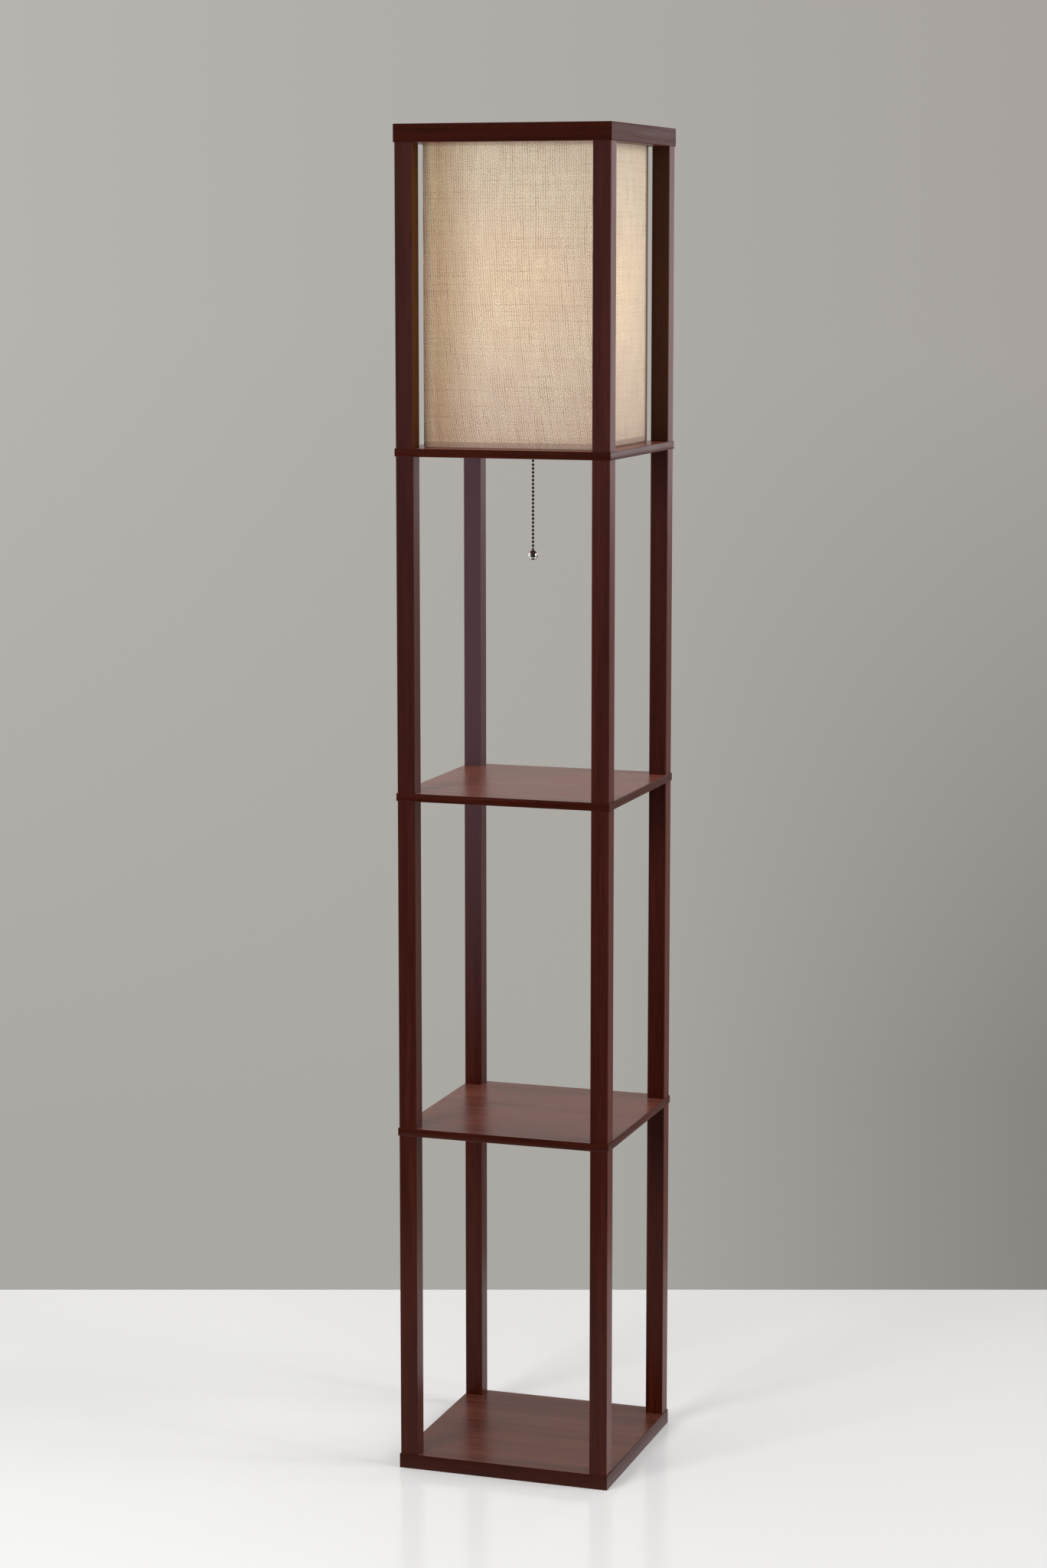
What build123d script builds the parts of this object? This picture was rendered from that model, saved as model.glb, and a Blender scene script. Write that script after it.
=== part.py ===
from build123d import *
import math
import os

# A shelf floor lamp in millimetres. +Z is up, the origin is the middle of the base's underside,
# -Y is the front and +X is the right-hand side.

# ------------------------------------------------------------------ driving dimensions

# boards and their edging
board_side = 260.0
base_thickness = 17.5
shelf_thickness = 9.5
edging_thickness = 0.8

# posts
post_side = 21.5
post_inset = 1.0  # from the boards' edge to a post's outer face
post_edge_chamfer = 0.8
shelf_post_length = 391.5
shade_post_length = 346.5

# open frame on top
rail_height = 21.0
rail_edge_chamfer = 0.6

# fastenings of the posts
stud_radius = 3.0
stud_reach = 20.0  # into each post
insert_radius = 4.5
insert_length = 13.0
screw_head_radius = 5.5
screw_head_height = 3.2
screw_hexagon_radius = 2.3
screw_hexagon_depth = 2.0
screw_recess_radius = 7.0
screw_recess_depth = 6.0
screw_reach = 16.0  # into the post
dowel_radius = 4.0
dowel_in_post = 18.0
dowel_in_rail = 12.0
fastener_sides = 8  # the hidden fastenings and their bores are prisms, which keeps the mesh light
turned_sides = 24  # small turned pieces are fine prisms for the same reason

# clearances
fit_gap = 0.05  # round a piece that is pressed, glued or screwed in
hole_gap = 0.3  # round a piece that passes through a hole
end_gap = 0.6  # past the end of a piece in a blind hole
running_gap = 0.3  # between pieces that move past each other

# shade
shade_gap = 3.5  # between the shade and the posts' inner faces
shade_lap = 3.5  # how far the shade's top reaches into the top frame
fabric_thickness = 0.6
shade_corner_radius = 2.2
panel_thickness = 0.8
ring_wire_radius = 1.2
hem_height = 6.0
seam_width = 9.0

# lamp holder, on the middle of the lamp board
nipple_radius = 5.0
nipple_bore_radius = 3.5
nipple_below_nut = 1.0
nut_across_flats = 14.0
nut_thickness = 3.5
washer_radius = 9.0
washer_thickness = 1.0
bushing_wall = 0.8
bushing_flange_radius = 5.4
bushing_flange_thickness = 1.2
bushing_length = 9.0
cap_hub_radius = 8.0
cap_hub_height = 7.0
cap_radius = 17.5
cap_shoulder_radius = 14.5
cap_shoulder_height = 8.5
cap_dome_height = 15.0
cap_height = 24.0
cap_wall = 0.8
shell_lap = 5.0  # how far the shell reaches into the cap
shell_height = 38.0
shell_wall = 0.6
shell_rim_radius = 17.8
shell_rim_height = 0.8
sleeve_wall = 0.8
sleeve_proud = 1.5
body_foot_radius = 11.0
body_foot_height = 9.0
body_height = 16.0
screw_shell_radius = 13.5
screw_shell_wall = 0.4
screw_shell_height = 23.0
screw_shell_lip = 4.5
contact_width = 5.0
contact_thickness = 0.5
contact_length = 11.0
contact_rise = 2.5
terminal_head_radius = 2.6
terminal_head_height = 1.6
terminal_shank_radius = 1.4
terminal_shank_length = 4.0
terminal_height = 5.0  # above the holder body's foot

# bulb
bulb_radius = 30.0
bulb_length = 108.0
bulb_cap_radius = 12.9
bulb_cap_wall = 0.5
bulb_cap_height = 22.0
bulb_tip_radius = 2.5
bulb_tip_height = 1.0
bulb_cone_radius = 10.5
bulb_cone_height = 4.0
bulb_neck_height = 30.0
bulb_neck_lap = 8.0
bulb_bands_above = 5  # tapered bands that make up the round of the bulb, above and below its middle
bulb_bands_below = 3
bulb_crown_radius = 4.0  # of the level facet on top

# pull switch, beside the lamp holder
switch_x = 5.0
switch_gap = 1.8  # between the switch and the holder's cap
switch_radius = 11.0
switch_wall = 1.5
switch_floor = 2.0
switch_height = 24.0
switch_cover_thickness = 2.0
stem_radius = 4.75
stem_bore_radius = 2.3
stem_flange_radius = 7.0
stem_flange_thickness = 1.2
stem_below_nut = 1.0
bell_radius = 3.9
bell_height = 2.5
knurled_nut_radius = 7.5
knurled_nut_thickness = 3.5
knurled_nut_sides = 12
spring_radius = 4.6
spring_wire = 0.8
spring_length = 12.0
plunger_radius = 6.0
plunger_thickness = 2.0
plunger_spigot_radius = 3.6
plunger_spigot_length = 3.2
plunger_neck_radius = 0.8
plunger_neck_height = 0.8
rotor_radius = 7.5
rotor_thickness = 2.4
rotor_teeth = 8
rotor_tooth_depth = 1.2
pivot_pin_radius = 1.8
pivot_pin_length = 5.6
blade_width = 3.0
blade_length = 4.0
blade_thickness = 0.6
blade_offset = 6.0
lead_radius = 1.0
lead_spacing = 2.8
lead_drop = 1.5  # from the leads' axes up to the cover
lead_in_switch = 2.0
lead_in_cap = 2.0

# bead pull chain
bead_radius = 1.6
bead_pitch = 4.5
link_radius = 0.5
bead_sides = 8
bead_height = 2.8
bead_chamfer = 0.8
swing_room = 2.5  # least height from the free bead's middle up to the stem
pull_drop = 118.0  # from the lamp board's underside to the middle of the ball
ball_radius = 6.0
ball_bands = 4  # tapered bands that make up each half of the ball
ball_collar_radius = 1.9
ball_collar_height = 2.4

# ------------------------------------------------------------------ levels and places

lower_shelf_bottom = base_thickness + shelf_post_length
lower_shelf_top = lower_shelf_bottom + shelf_thickness
middle_shelf_bottom = lower_shelf_top + shelf_post_length
middle_shelf_top = middle_shelf_bottom + shelf_thickness
lamp_board_bottom = middle_shelf_top + shelf_post_length
lamp_board_top = lamp_board_bottom + shelf_thickness
rail_bottom = lamp_board_top + shade_post_length

core_side = board_side - 2 * edging_thickness
post_centre = board_side / 2 - post_inset - post_side / 2
post_pitch = 2 * post_centre
rail_width = post_inset + post_side
rail_centre = (board_side - rail_width) / 2
board_hole_radius = stud_radius + hole_gap

corners = {
    "front_left": (-post_centre, -post_centre),
    "front_right": (post_centre, -post_centre),
    "back_right": (post_centre, post_centre),
    "back_left": (-post_centre, post_centre),
}
# stage name: foot level, post length
stages = {
    "bottom": (base_thickness, shelf_post_length),
    "middle": (lower_shelf_top, shelf_post_length),
    "upper": (middle_shelf_top, shelf_post_length),
    "shade": (lamp_board_top, shade_post_length),
}
shelves = {
    "lower_shelf": lower_shelf_bottom,
    "middle_shelf": middle_shelf_bottom,
    "lamp_board": lamp_board_bottom,
}

os.makedirs("parts", exist_ok=True)


def section(x, y, z):
    """The upright plane through a vertical axis: its local X is outward and its local Y is up."""
    return Plane(origin=(x, y, z), x_dir=(1, 0, 0), z_dir=(0, -1, 0))


def taper_between(wide, narrow, height):
    """The slope in degrees of a turned piece's side between two rings, measured to their corners."""
    flats = math.cos(math.pi / turned_sides)
    return math.degrees(math.atan(flats * (wide - narrow) / height))


# ------------------------------------------------------------------ boards

switch_distance = cap_radius + switch_gap + switch_radius
switch_y = -math.sqrt(switch_distance**2 - switch_x**2)

with BuildPart() as base_board:
    with BuildSketch():
        Rectangle(core_side, core_side)
    extrude(amount=base_thickness)
    with BuildSketch():
        with GridLocations(post_pitch, post_pitch, 2, 2):
            RegularPolygon(board_hole_radius, fastener_sides)
    extrude(amount=base_thickness, mode=Mode.SUBTRACT)
    with BuildSketch():
        with GridLocations(post_pitch, post_pitch, 2, 2):
            RegularPolygon(screw_recess_radius, turned_sides)
    extrude(amount=screw_recess_depth, mode=Mode.SUBTRACT)
base_board.part.label = "base_board"
export_step(base_board.part, "parts/base_board.step")

for name, bottom in shelves.items():
    with BuildPart() as board:
        with BuildSketch(Plane.XY.offset(bottom)):
            Rectangle(core_side, core_side)
            with GridLocations(post_pitch, post_pitch, 2, 2):
                RegularPolygon(board_hole_radius, fastener_sides, mode=Mode.SUBTRACT)
            if name == "lamp_board":
                Circle(nipple_radius + hole_gap, mode=Mode.SUBTRACT)
                with Locations((switch_x, switch_y)):
                    Circle(stem_radius + hole_gap, mode=Mode.SUBTRACT)
        extrude(amount=shelf_thickness)
    board.part.label = name
    export_step(board.part, f"parts/{name}.step")

# each board's edging is one tape glued round it
with BuildPart() as base_edging:
    with BuildSketch():
        Rectangle(board_side, board_side)
        Rectangle(core_side, core_side, mode=Mode.SUBTRACT)
    extrude(amount=base_thickness)
base_edging.part.label = "base_edging"
export_step(base_edging.part, "parts/base_edging.step")

with BuildPart() as shelf_edging:
    for bottom in shelves.values():
        with BuildSketch(Plane.XY.offset(bottom)):
            Rectangle(board_side, board_side)
            Rectangle(core_side, core_side, mode=Mode.SUBTRACT)
        extrude(amount=shelf_thickness)
shelf_edging.part.label = "shelf_edging"
export_step(shelf_edging.part, "parts/shelf_edging.step")

# ------------------------------------------------------------------ posts and top frame


for stage, (foot_level, length) in stages.items():
    for corner, (x, y) in corners.items():
        foot = Plane(origin=(x, y, foot_level))
        foot_mouth = Plane(origin=(x, y, foot_level), z_dir=(0, 0, -1))
        head_mouth = foot.offset(length)
        holes = [(foot_mouth, insert_radius + fit_gap, stud_reach + end_gap)]
        if stage == "shade":
            holes.append((head_mouth, dowel_radius + fit_gap, dowel_in_post + end_gap))
        else:
            holes.append((head_mouth, stud_radius + fit_gap, stud_reach + end_gap))
        with BuildPart() as post:
            with BuildSketch(foot) as outline:
                Rectangle(post_side, post_side)
                chamfer(outline.vertices(), post_edge_chamfer)
            extrude(amount=length)
            for mouth, hole_radius, depth in holes:
                with BuildSketch(mouth):
                    RegularPolygon(hole_radius, fastener_sides)
                extrude(amount=-depth, mode=Mode.SUBTRACT)
        post.part.label = f"{stage}_post_{corner}"
        export_step(post.part, f"parts/{stage}_post_{corner}.step")

# each rail's outline lies along local X, with its outer edge on the side of local -Y
rail_turns = {"front": 0, "right": 90, "back": 180, "left": 270}
for side, turn in rail_turns.items():
    rail_plane = Plane.XY.offset(rail_bottom).rotated((0, 0, turn))
    with BuildPart() as rail:
        with BuildSketch(rail_plane):
            with Locations((0, -rail_centre)):
                Trapezoid(board_side, rail_width, 45)
        extrude(amount=rail_height)
        along = Axis.X if side in ("front", "back") else Axis.Y
        chamfer(rail.edges().filter_by(along), rail_edge_chamfer)
        with BuildSketch(rail_plane):
            with Locations((-post_centre, -post_centre), (post_centre, -post_centre)):
                RegularPolygon(dowel_radius + fit_gap, fastener_sides)
        extrude(amount=dowel_in_rail + end_gap, mode=Mode.SUBTRACT)
    rail.part.label = f"top_rail_{side}"
    export_step(rail.part, f"parts/top_rail_{side}.step")

# ------------------------------------------------------------------ fastenings

with BuildPart() as post_inserts:
    for foot_level, _ in stages.values():
        with BuildSketch(Plane.XY.offset(foot_level)):
            with GridLocations(post_pitch, post_pitch, 2, 2):
                RegularPolygon(insert_radius, fastener_sides)
                RegularPolygon(stud_radius + fit_gap, fastener_sides, mode=Mode.SUBTRACT)
        extrude(amount=insert_length)
post_inserts.part.label = "post_inserts"
export_step(post_inserts.part, "parts/post_inserts.step")

stud_length = shelf_thickness + 2 * stud_reach
with BuildPart() as shelf_studs:
    for bottom in shelves.values():
        with BuildSketch(Plane.XY.offset(bottom - stud_reach)):
            with GridLocations(post_pitch, post_pitch, 2, 2):
                RegularPolygon(stud_radius, fastener_sides)
        extrude(amount=stud_length)
shelf_studs.part.label = "shelf_studs"
export_step(shelf_studs.part, "parts/shelf_studs.step")

head_bottom = screw_recess_depth - screw_head_height
with BuildPart() as base_screws:
    with BuildSketch(Plane.XY.offset(head_bottom)):
        with GridLocations(post_pitch, post_pitch, 2, 2):
            RegularPolygon(screw_head_radius, turned_sides)
    extrude(amount=screw_head_height)
    with BuildSketch(Plane.XY.offset(screw_recess_depth)):
        with GridLocations(post_pitch, post_pitch, 2, 2):
            RegularPolygon(stud_radius, fastener_sides)
    extrude(amount=base_thickness - screw_recess_depth + screw_reach)
    with BuildSketch(Plane.XY.offset(head_bottom)):
        with GridLocations(post_pitch, post_pitch, 2, 2):
            RegularPolygon(screw_hexagon_radius, 6)
    extrude(amount=screw_hexagon_depth, mode=Mode.SUBTRACT)
base_screws.part.label = "base_screws"
export_step(base_screws.part, "parts/base_screws.step")

with BuildPart() as corner_dowels:
    with BuildSketch(Plane.XY.offset(rail_bottom - dowel_in_post)):
        with GridLocations(post_pitch, post_pitch, 2, 2):
            RegularPolygon(dowel_radius, fastener_sides)
    extrude(amount=dowel_in_post + dowel_in_rail)
corner_dowels.part.label = "corner_dowels"
export_step(corner_dowels.part, "parts/corner_dowels.step")

# ------------------------------------------------------------------ shade

shade_side = 2 * (post_centre - post_side / 2 - shade_gap)
shade_height = shade_post_length + shade_lap
fabric_inner_side = shade_side - 2 * fabric_thickness
panel_inner_side = fabric_inner_side - 2 * panel_thickness
panel_width = fabric_inner_side - 2 * shade_corner_radius
ring_side = panel_inner_side - 2 * (ring_wire_radius + fit_gap)
hem_outer_side = ring_side - 2 * (ring_wire_radius + fit_gap)
hem_inner_side = hem_outer_side - 2 * fabric_thickness
fabric_inner_radius = shade_corner_radius - fabric_thickness

with BuildPart() as shade_fabric:
    # the outer cloth
    with BuildSketch(Plane.XY.offset(lamp_board_top)):
        RectangleRounded(shade_side, shade_side, shade_corner_radius)
        RectangleRounded(fabric_inner_side, fabric_inner_side, fabric_inner_radius, mode=Mode.SUBTRACT)
    extrude(amount=shade_height)
    # the turned hems: over the edge, then down or up the inside
    for hem_edge, inward in ((lamp_board_top, 1), (lamp_board_top + shade_height, -1)):
        with BuildSketch(Plane.XY.offset(hem_edge)):
            RectangleRounded(shade_side, shade_side, shade_corner_radius)
            Rectangle(hem_inner_side, hem_inner_side, mode=Mode.SUBTRACT)
        extrude(amount=inward * fabric_thickness)
        with BuildSketch(Plane.XY.offset(hem_edge)):
            Rectangle(hem_outer_side, hem_outer_side)
            Rectangle(hem_inner_side, hem_inner_side, mode=Mode.SUBTRACT)
        extrude(amount=inward * hem_height)
    # the glued overlap at the rear edge of the right-hand side
    with BuildSketch(Plane.XY.offset(lamp_board_top)):
        with Locations(((shade_side + fabric_thickness) / 2, shade_side / 2 - shade_corner_radius)):
            Rectangle(fabric_thickness, seam_width, align=(Align.CENTER, Align.MAX))
    extrude(amount=shade_height)
shade_fabric.part.label = "shade_fabric"
export_step(shade_fabric.part, "parts/shade_fabric.step")

panel_centre = (panel_inner_side + panel_thickness) / 2
with BuildPart() as shade_panels:
    with BuildSketch(Plane.XY.offset(lamp_board_top + fabric_thickness)):
        with GridLocations(0, 2 * panel_centre, 1, 2):
            Rectangle(panel_width, panel_thickness)
        with GridLocations(2 * panel_centre, 0, 2, 1):
            Rectangle(panel_thickness, panel_width)
    extrude(amount=shade_height - 2 * fabric_thickness)
shade_panels.part.label = "shade_panels"
export_step(shade_panels.part, "parts/shade_panels.step")

ring_outer_side = ring_side + 2 * ring_wire_radius
ring_inner_side = ring_side - 2 * ring_wire_radius
ring_inset = fabric_thickness + fit_gap
ring_height = 2 * ring_wire_radius
with BuildPart() as shade_rings:
    for ring_bottom in (ring_inset, shade_height - ring_inset - ring_height):
        with BuildSketch(Plane.XY.offset(lamp_board_top + ring_bottom)):
            Rectangle(ring_outer_side, ring_outer_side)
            Rectangle(ring_inner_side, ring_inner_side, mode=Mode.SUBTRACT)
        extrude(amount=ring_height)
shade_rings.part.label = "shade_rings"
export_step(shade_rings.part, "parts/shade_rings.step")

# ------------------------------------------------------------------ lamp holder

lower_washer_bottom = lamp_board_bottom - washer_thickness
lower_nut_bottom = lower_washer_bottom - nut_thickness
nipple_bottom = lower_nut_bottom - nipple_below_nut
upper_nut_bottom = lamp_board_top + washer_thickness
cap_bottom = upper_nut_bottom + nut_thickness
nut_radius = nut_across_flats / math.sqrt(3)
thread_hole_radius = nipple_radius + fit_gap

with BuildPart() as nipple:
    with BuildSketch(Plane.XY.offset(nipple_bottom)):
        RegularPolygon(nipple_radius, turned_sides)
        RegularPolygon(nipple_bore_radius, turned_sides, major_radius=False, mode=Mode.SUBTRACT)
    extrude(amount=cap_bottom + cap_hub_height - nipple_bottom)
nipple.part.label = "nipple"
export_step(nipple.part, "parts/nipple.step")

with BuildPart() as nipple_nuts:
    for nut_bottom in (lower_nut_bottom, upper_nut_bottom):
        with BuildSketch(Plane.XY.offset(nut_bottom)):
            RegularPolygon(nut_radius, 6)
            RegularPolygon(thread_hole_radius, turned_sides, major_radius=False, mode=Mode.SUBTRACT)
        extrude(amount=nut_thickness)
nipple_nuts.part.label = "nipple_nuts"
export_step(nipple_nuts.part, "parts/nipple_nuts.step")

with BuildPart() as nipple_washers:
    for washer_bottom in (lower_washer_bottom, lamp_board_top):
        with BuildSketch(Plane.XY.offset(washer_bottom)):
            RegularPolygon(washer_radius, turned_sides)
            RegularPolygon(nipple_radius + hole_gap, turned_sides, mode=Mode.SUBTRACT)
        extrude(amount=washer_thickness)
nipple_washers.part.label = "nipple_washers"
export_step(nipple_washers.part, "parts/nipple_washers.step")

bushing_outer_radius = nipple_bore_radius - fit_gap
bushing_bore_radius = bushing_outer_radius - bushing_wall
with BuildPart() as cord_bushing:
    with BuildSketch(Plane.XY.offset(nipple_bottom)):
        RegularPolygon(bushing_flange_radius, turned_sides)
    extrude(amount=-bushing_flange_thickness)
    with BuildSketch(Plane.XY.offset(nipple_bottom)):
        RegularPolygon(bushing_outer_radius, turned_sides)
    extrude(amount=bushing_length)
    with BuildSketch(Plane.XY.offset(nipple_bottom - bushing_flange_thickness)):
        RegularPolygon(bushing_bore_radius, turned_sides, major_radius=False)
    extrude(amount=bushing_flange_thickness + bushing_length, mode=Mode.SUBTRACT)
cord_bushing.part.label = "cord_bushing"
export_step(cord_bushing.part, "parts/cord_bushing.step")

cap_inner_radius = cap_radius - cap_wall
lead_level = lamp_board_top + switch_height - lead_drop - lead_radius
lead_places = (switch_x - lead_spacing / 2, switch_x + lead_spacing / 2)
window_height = 2 * (lead_radius + hole_gap)
window_width = lead_spacing + window_height

# the cap is drawn mouth down and turned over: from its mouth it narrows over a dome and a shoulder
cap_outside = [
    (cap_radius, cap_height - cap_dome_height),
    (cap_shoulder_radius, cap_height - cap_shoulder_height),
    (cap_hub_radius, cap_height - cap_hub_height + 2 * cap_wall),
]
cap_inside = [
    (cap_inner_radius, cap_height - cap_dome_height),
    (cap_shoulder_radius - cap_wall, cap_height - cap_shoulder_height - cap_wall),
    (cap_hub_radius, cap_height - cap_hub_height),
]
with BuildPart() as socket_cap:
    with BuildSketch(Plane.XY.offset(cap_bottom)):
        RegularPolygon(cap_hub_radius, turned_sides)
    extrude(amount=cap_height)
    for outline, how in ((cap_outside, Mode.ADD), (cap_inside, Mode.SUBTRACT)):
        mouth_radius, mouth_height = outline[0]
        with BuildSketch(Plane.XY.offset(cap_bottom)):
            RegularPolygon(mouth_radius, turned_sides)
        extrude(amount=mouth_height, mode=how)
        for (low_radius, low), (high_radius, high) in zip(outline, outline[1:]):
            with BuildSketch(Plane.XY.offset(cap_bottom + low)):
                RegularPolygon(low_radius, turned_sides)
            slope = taper_between(low_radius, high_radius, high - low)
            extrude(amount=high - low, taper=slope, mode=how)
    mirror(about=Plane.XY.offset(cap_bottom + cap_height / 2), mode=Mode.REPLACE)
    with BuildSketch(Plane.XY.offset(cap_bottom)):
        RegularPolygon(thread_hole_radius, turned_sides, major_radius=False)
    extrude(amount=cap_hub_height, mode=Mode.SUBTRACT)
    # the window for the leads, on the switch's side; they rest on its lower edge
    with BuildSketch(Plane.XZ):
        with Locations((switch_x, lead_level + hole_gap)):
            Rectangle(window_width, window_height)
    extrude(amount=cap_radius, mode=Mode.SUBTRACT)
socket_cap.part.label = "socket_cap"
export_step(socket_cap.part, "parts/socket_cap.step")

shell_radius = cap_inner_radius - fit_gap
shell_inner_radius = shell_radius - shell_wall
shell_bottom = cap_height - shell_lap
shell_top = shell_bottom + shell_height
with BuildPart() as socket_shell:
    with BuildSketch(Plane.XY.offset(cap_bottom + shell_bottom)):
        RegularPolygon(shell_radius, turned_sides)
    extrude(amount=shell_height)
    with BuildSketch(Plane.XY.offset(cap_bottom + shell_top - shell_rim_height)):
        RegularPolygon(shell_rim_radius, turned_sides)
    extrude(amount=shell_rim_height)
    with BuildSketch(Plane.XY.offset(cap_bottom + shell_bottom)):
        RegularPolygon(shell_inner_radius, turned_sides)
    extrude(amount=shell_height, mode=Mode.SUBTRACT)
socket_shell.part.label = "socket_shell"
export_step(socket_shell.part, "parts/socket_shell.step")

sleeve_radius = shell_inner_radius - fit_gap
body_radius = sleeve_radius - sleeve_wall - fit_gap
with BuildPart() as socket_sleeve:
    with BuildSketch(Plane.XY.offset(cap_bottom + shell_bottom)):
        RegularPolygon(sleeve_radius, turned_sides)
        RegularPolygon(sleeve_radius - sleeve_wall, turned_sides, mode=Mode.SUBTRACT)
    extrude(amount=shell_height + sleeve_proud)
socket_sleeve.part.label = "socket_sleeve"
export_step(socket_sleeve.part, "parts/socket_sleeve.step")

body_bottom = cap_height + cap_wall - body_foot_height - shell_lap
body_top = body_bottom + body_height
terminal_level = body_bottom + terminal_height
with BuildPart() as socket_body:
    with BuildSketch(Plane.XY.offset(cap_bottom + body_bottom)):
        RegularPolygon(body_foot_radius, turned_sides)
    extrude(amount=body_foot_height)
    with BuildSketch(Plane.XY.offset(cap_bottom + body_bottom + body_foot_height)):
        RegularPolygon(body_radius, turned_sides)
    extrude(amount=body_height - body_foot_height)
    # a hole for each terminal screw, across the foot
    with BuildSketch(Plane.YZ.offset(-body_foot_radius)):
        with Locations((0, cap_bottom + terminal_level)):
            RegularPolygon(terminal_shank_radius + fit_gap, fastener_sides)
    extrude(amount=terminal_shank_length + end_gap, mode=Mode.SUBTRACT)
    with BuildSketch(Plane.YZ.offset(body_foot_radius)):
        with Locations((0, cap_bottom + terminal_level)):
            RegularPolygon(terminal_shank_radius + fit_gap, fastener_sides)
    extrude(amount=-terminal_shank_length - end_gap, mode=Mode.SUBTRACT)
socket_body.part.label = "socket_body"
export_step(socket_body.part, "parts/socket_body.step")

with BuildPart() as terminal_screws:
    for side in (-1, 1):
        with BuildSketch(Plane.YZ.offset(side * body_foot_radius)):
            with Locations((0, cap_bottom + terminal_level)):
                RegularPolygon(terminal_head_radius, turned_sides // 2)
        extrude(amount=side * terminal_head_height)
        with BuildSketch(Plane.YZ.offset(side * body_foot_radius)):
            with Locations((0, cap_bottom + terminal_level)):
                RegularPolygon(terminal_shank_radius, fastener_sides)
        extrude(amount=-side * terminal_shank_length)
terminal_screws.part.label = "terminal_screws"
export_step(terminal_screws.part, "parts/terminal_screws.step")

screw_shell_inner = screw_shell_radius - screw_shell_wall
with BuildPart() as screw_shell:
    with BuildSketch(Plane.XY.offset(cap_bottom + body_top)):
        RegularPolygon(screw_shell_radius, turned_sides)
        RegularPolygon(screw_shell_inner - screw_shell_lip, turned_sides, mode=Mode.SUBTRACT)
    extrude(amount=screw_shell_wall)
    with BuildSketch(Plane.XY.offset(cap_bottom + body_top)):
        RegularPolygon(screw_shell_radius, turned_sides)
        RegularPolygon(screw_shell_inner, turned_sides, mode=Mode.SUBTRACT)
    extrude(amount=screw_shell_height)
screw_shell.part.label = "screw_shell"
export_step(screw_shell.part, "parts/screw_shell.step")

# a springy tongue: flat on the body, then up to a level tip under the bulb
tongue_start = -contact_length * 0.6
with BuildPart() as centre_contact:
    with BuildSketch(section(0, contact_width / 2, cap_bottom + body_top)):
        with BuildLine():
            Polyline(
                (tongue_start, 0),
                (tongue_start + contact_length * 0.3, 0),
                (tongue_start + contact_length * 0.5, contact_rise - contact_thickness),
                (tongue_start + contact_length, contact_rise - contact_thickness),
                (tongue_start + contact_length, contact_rise),
                (tongue_start + contact_length * 0.45, contact_rise),
                (tongue_start + contact_length * 0.25, contact_thickness),
                (tongue_start, contact_thickness),
                close=True,
            )
        make_face()
    extrude(amount=contact_width)
centre_contact.part.label = "centre_contact"
export_step(centre_contact.part, "parts/centre_contact.step")

# ------------------------------------------------------------------ bulb, drawn from its tip up

bulb_tip_level = cap_bottom + body_top + contact_rise + running_gap
bulb_cap_inner = bulb_cap_radius - bulb_cap_wall
bulb_seat = bulb_neck_height - bulb_neck_lap
bulb_cone_top = bulb_tip_height + bulb_cone_height

with BuildPart() as bulb_cap:
    # the cone under the cap is drawn upside down and turned over
    with BuildSketch(Plane.XY.offset(bulb_tip_level + bulb_cone_top)):
        RegularPolygon(bulb_cone_radius, turned_sides)
    extrude(amount=bulb_cone_height, taper=taper_between(bulb_cone_radius, bulb_tip_radius, bulb_cone_height))
    mirror(about=Plane.XY.offset(bulb_tip_level + bulb_cone_top), mode=Mode.REPLACE)
    with BuildSketch(Plane.XY.offset(bulb_tip_level)):
        RegularPolygon(bulb_tip_radius, turned_sides)
    extrude(amount=bulb_cone_top)
    with BuildSketch(Plane.XY.offset(bulb_tip_level + bulb_cone_top)):
        RegularPolygon(bulb_cap_radius, turned_sides)
    extrude(amount=bulb_cap_height)
    with BuildSketch(Plane.XY.offset(bulb_tip_level + bulb_cone_top + bulb_cap_wall)):
        RegularPolygon(bulb_cap_inner, turned_sides)
    extrude(amount=bulb_cap_height - bulb_cap_wall, mode=Mode.SUBTRACT)
bulb_cap.part.label = "bulb_cap"
export_step(bulb_cap.part, "parts/bulb_cap.step")

# the neck runs into the round of the bulb by an arc that is tangent to both
neck_radius = bulb_cap_inner - fit_gap
globe_level = bulb_length - bulb_radius
neck_rise = globe_level - bulb_neck_height
neck_arc_radius = (neck_radius**2 + neck_rise**2 - bulb_radius**2) / (2 * (bulb_radius - neck_radius))
tangent_angle = math.asin(neck_rise / (bulb_radius + neck_arc_radius))
half_neck = tangent_angle / 2
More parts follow.
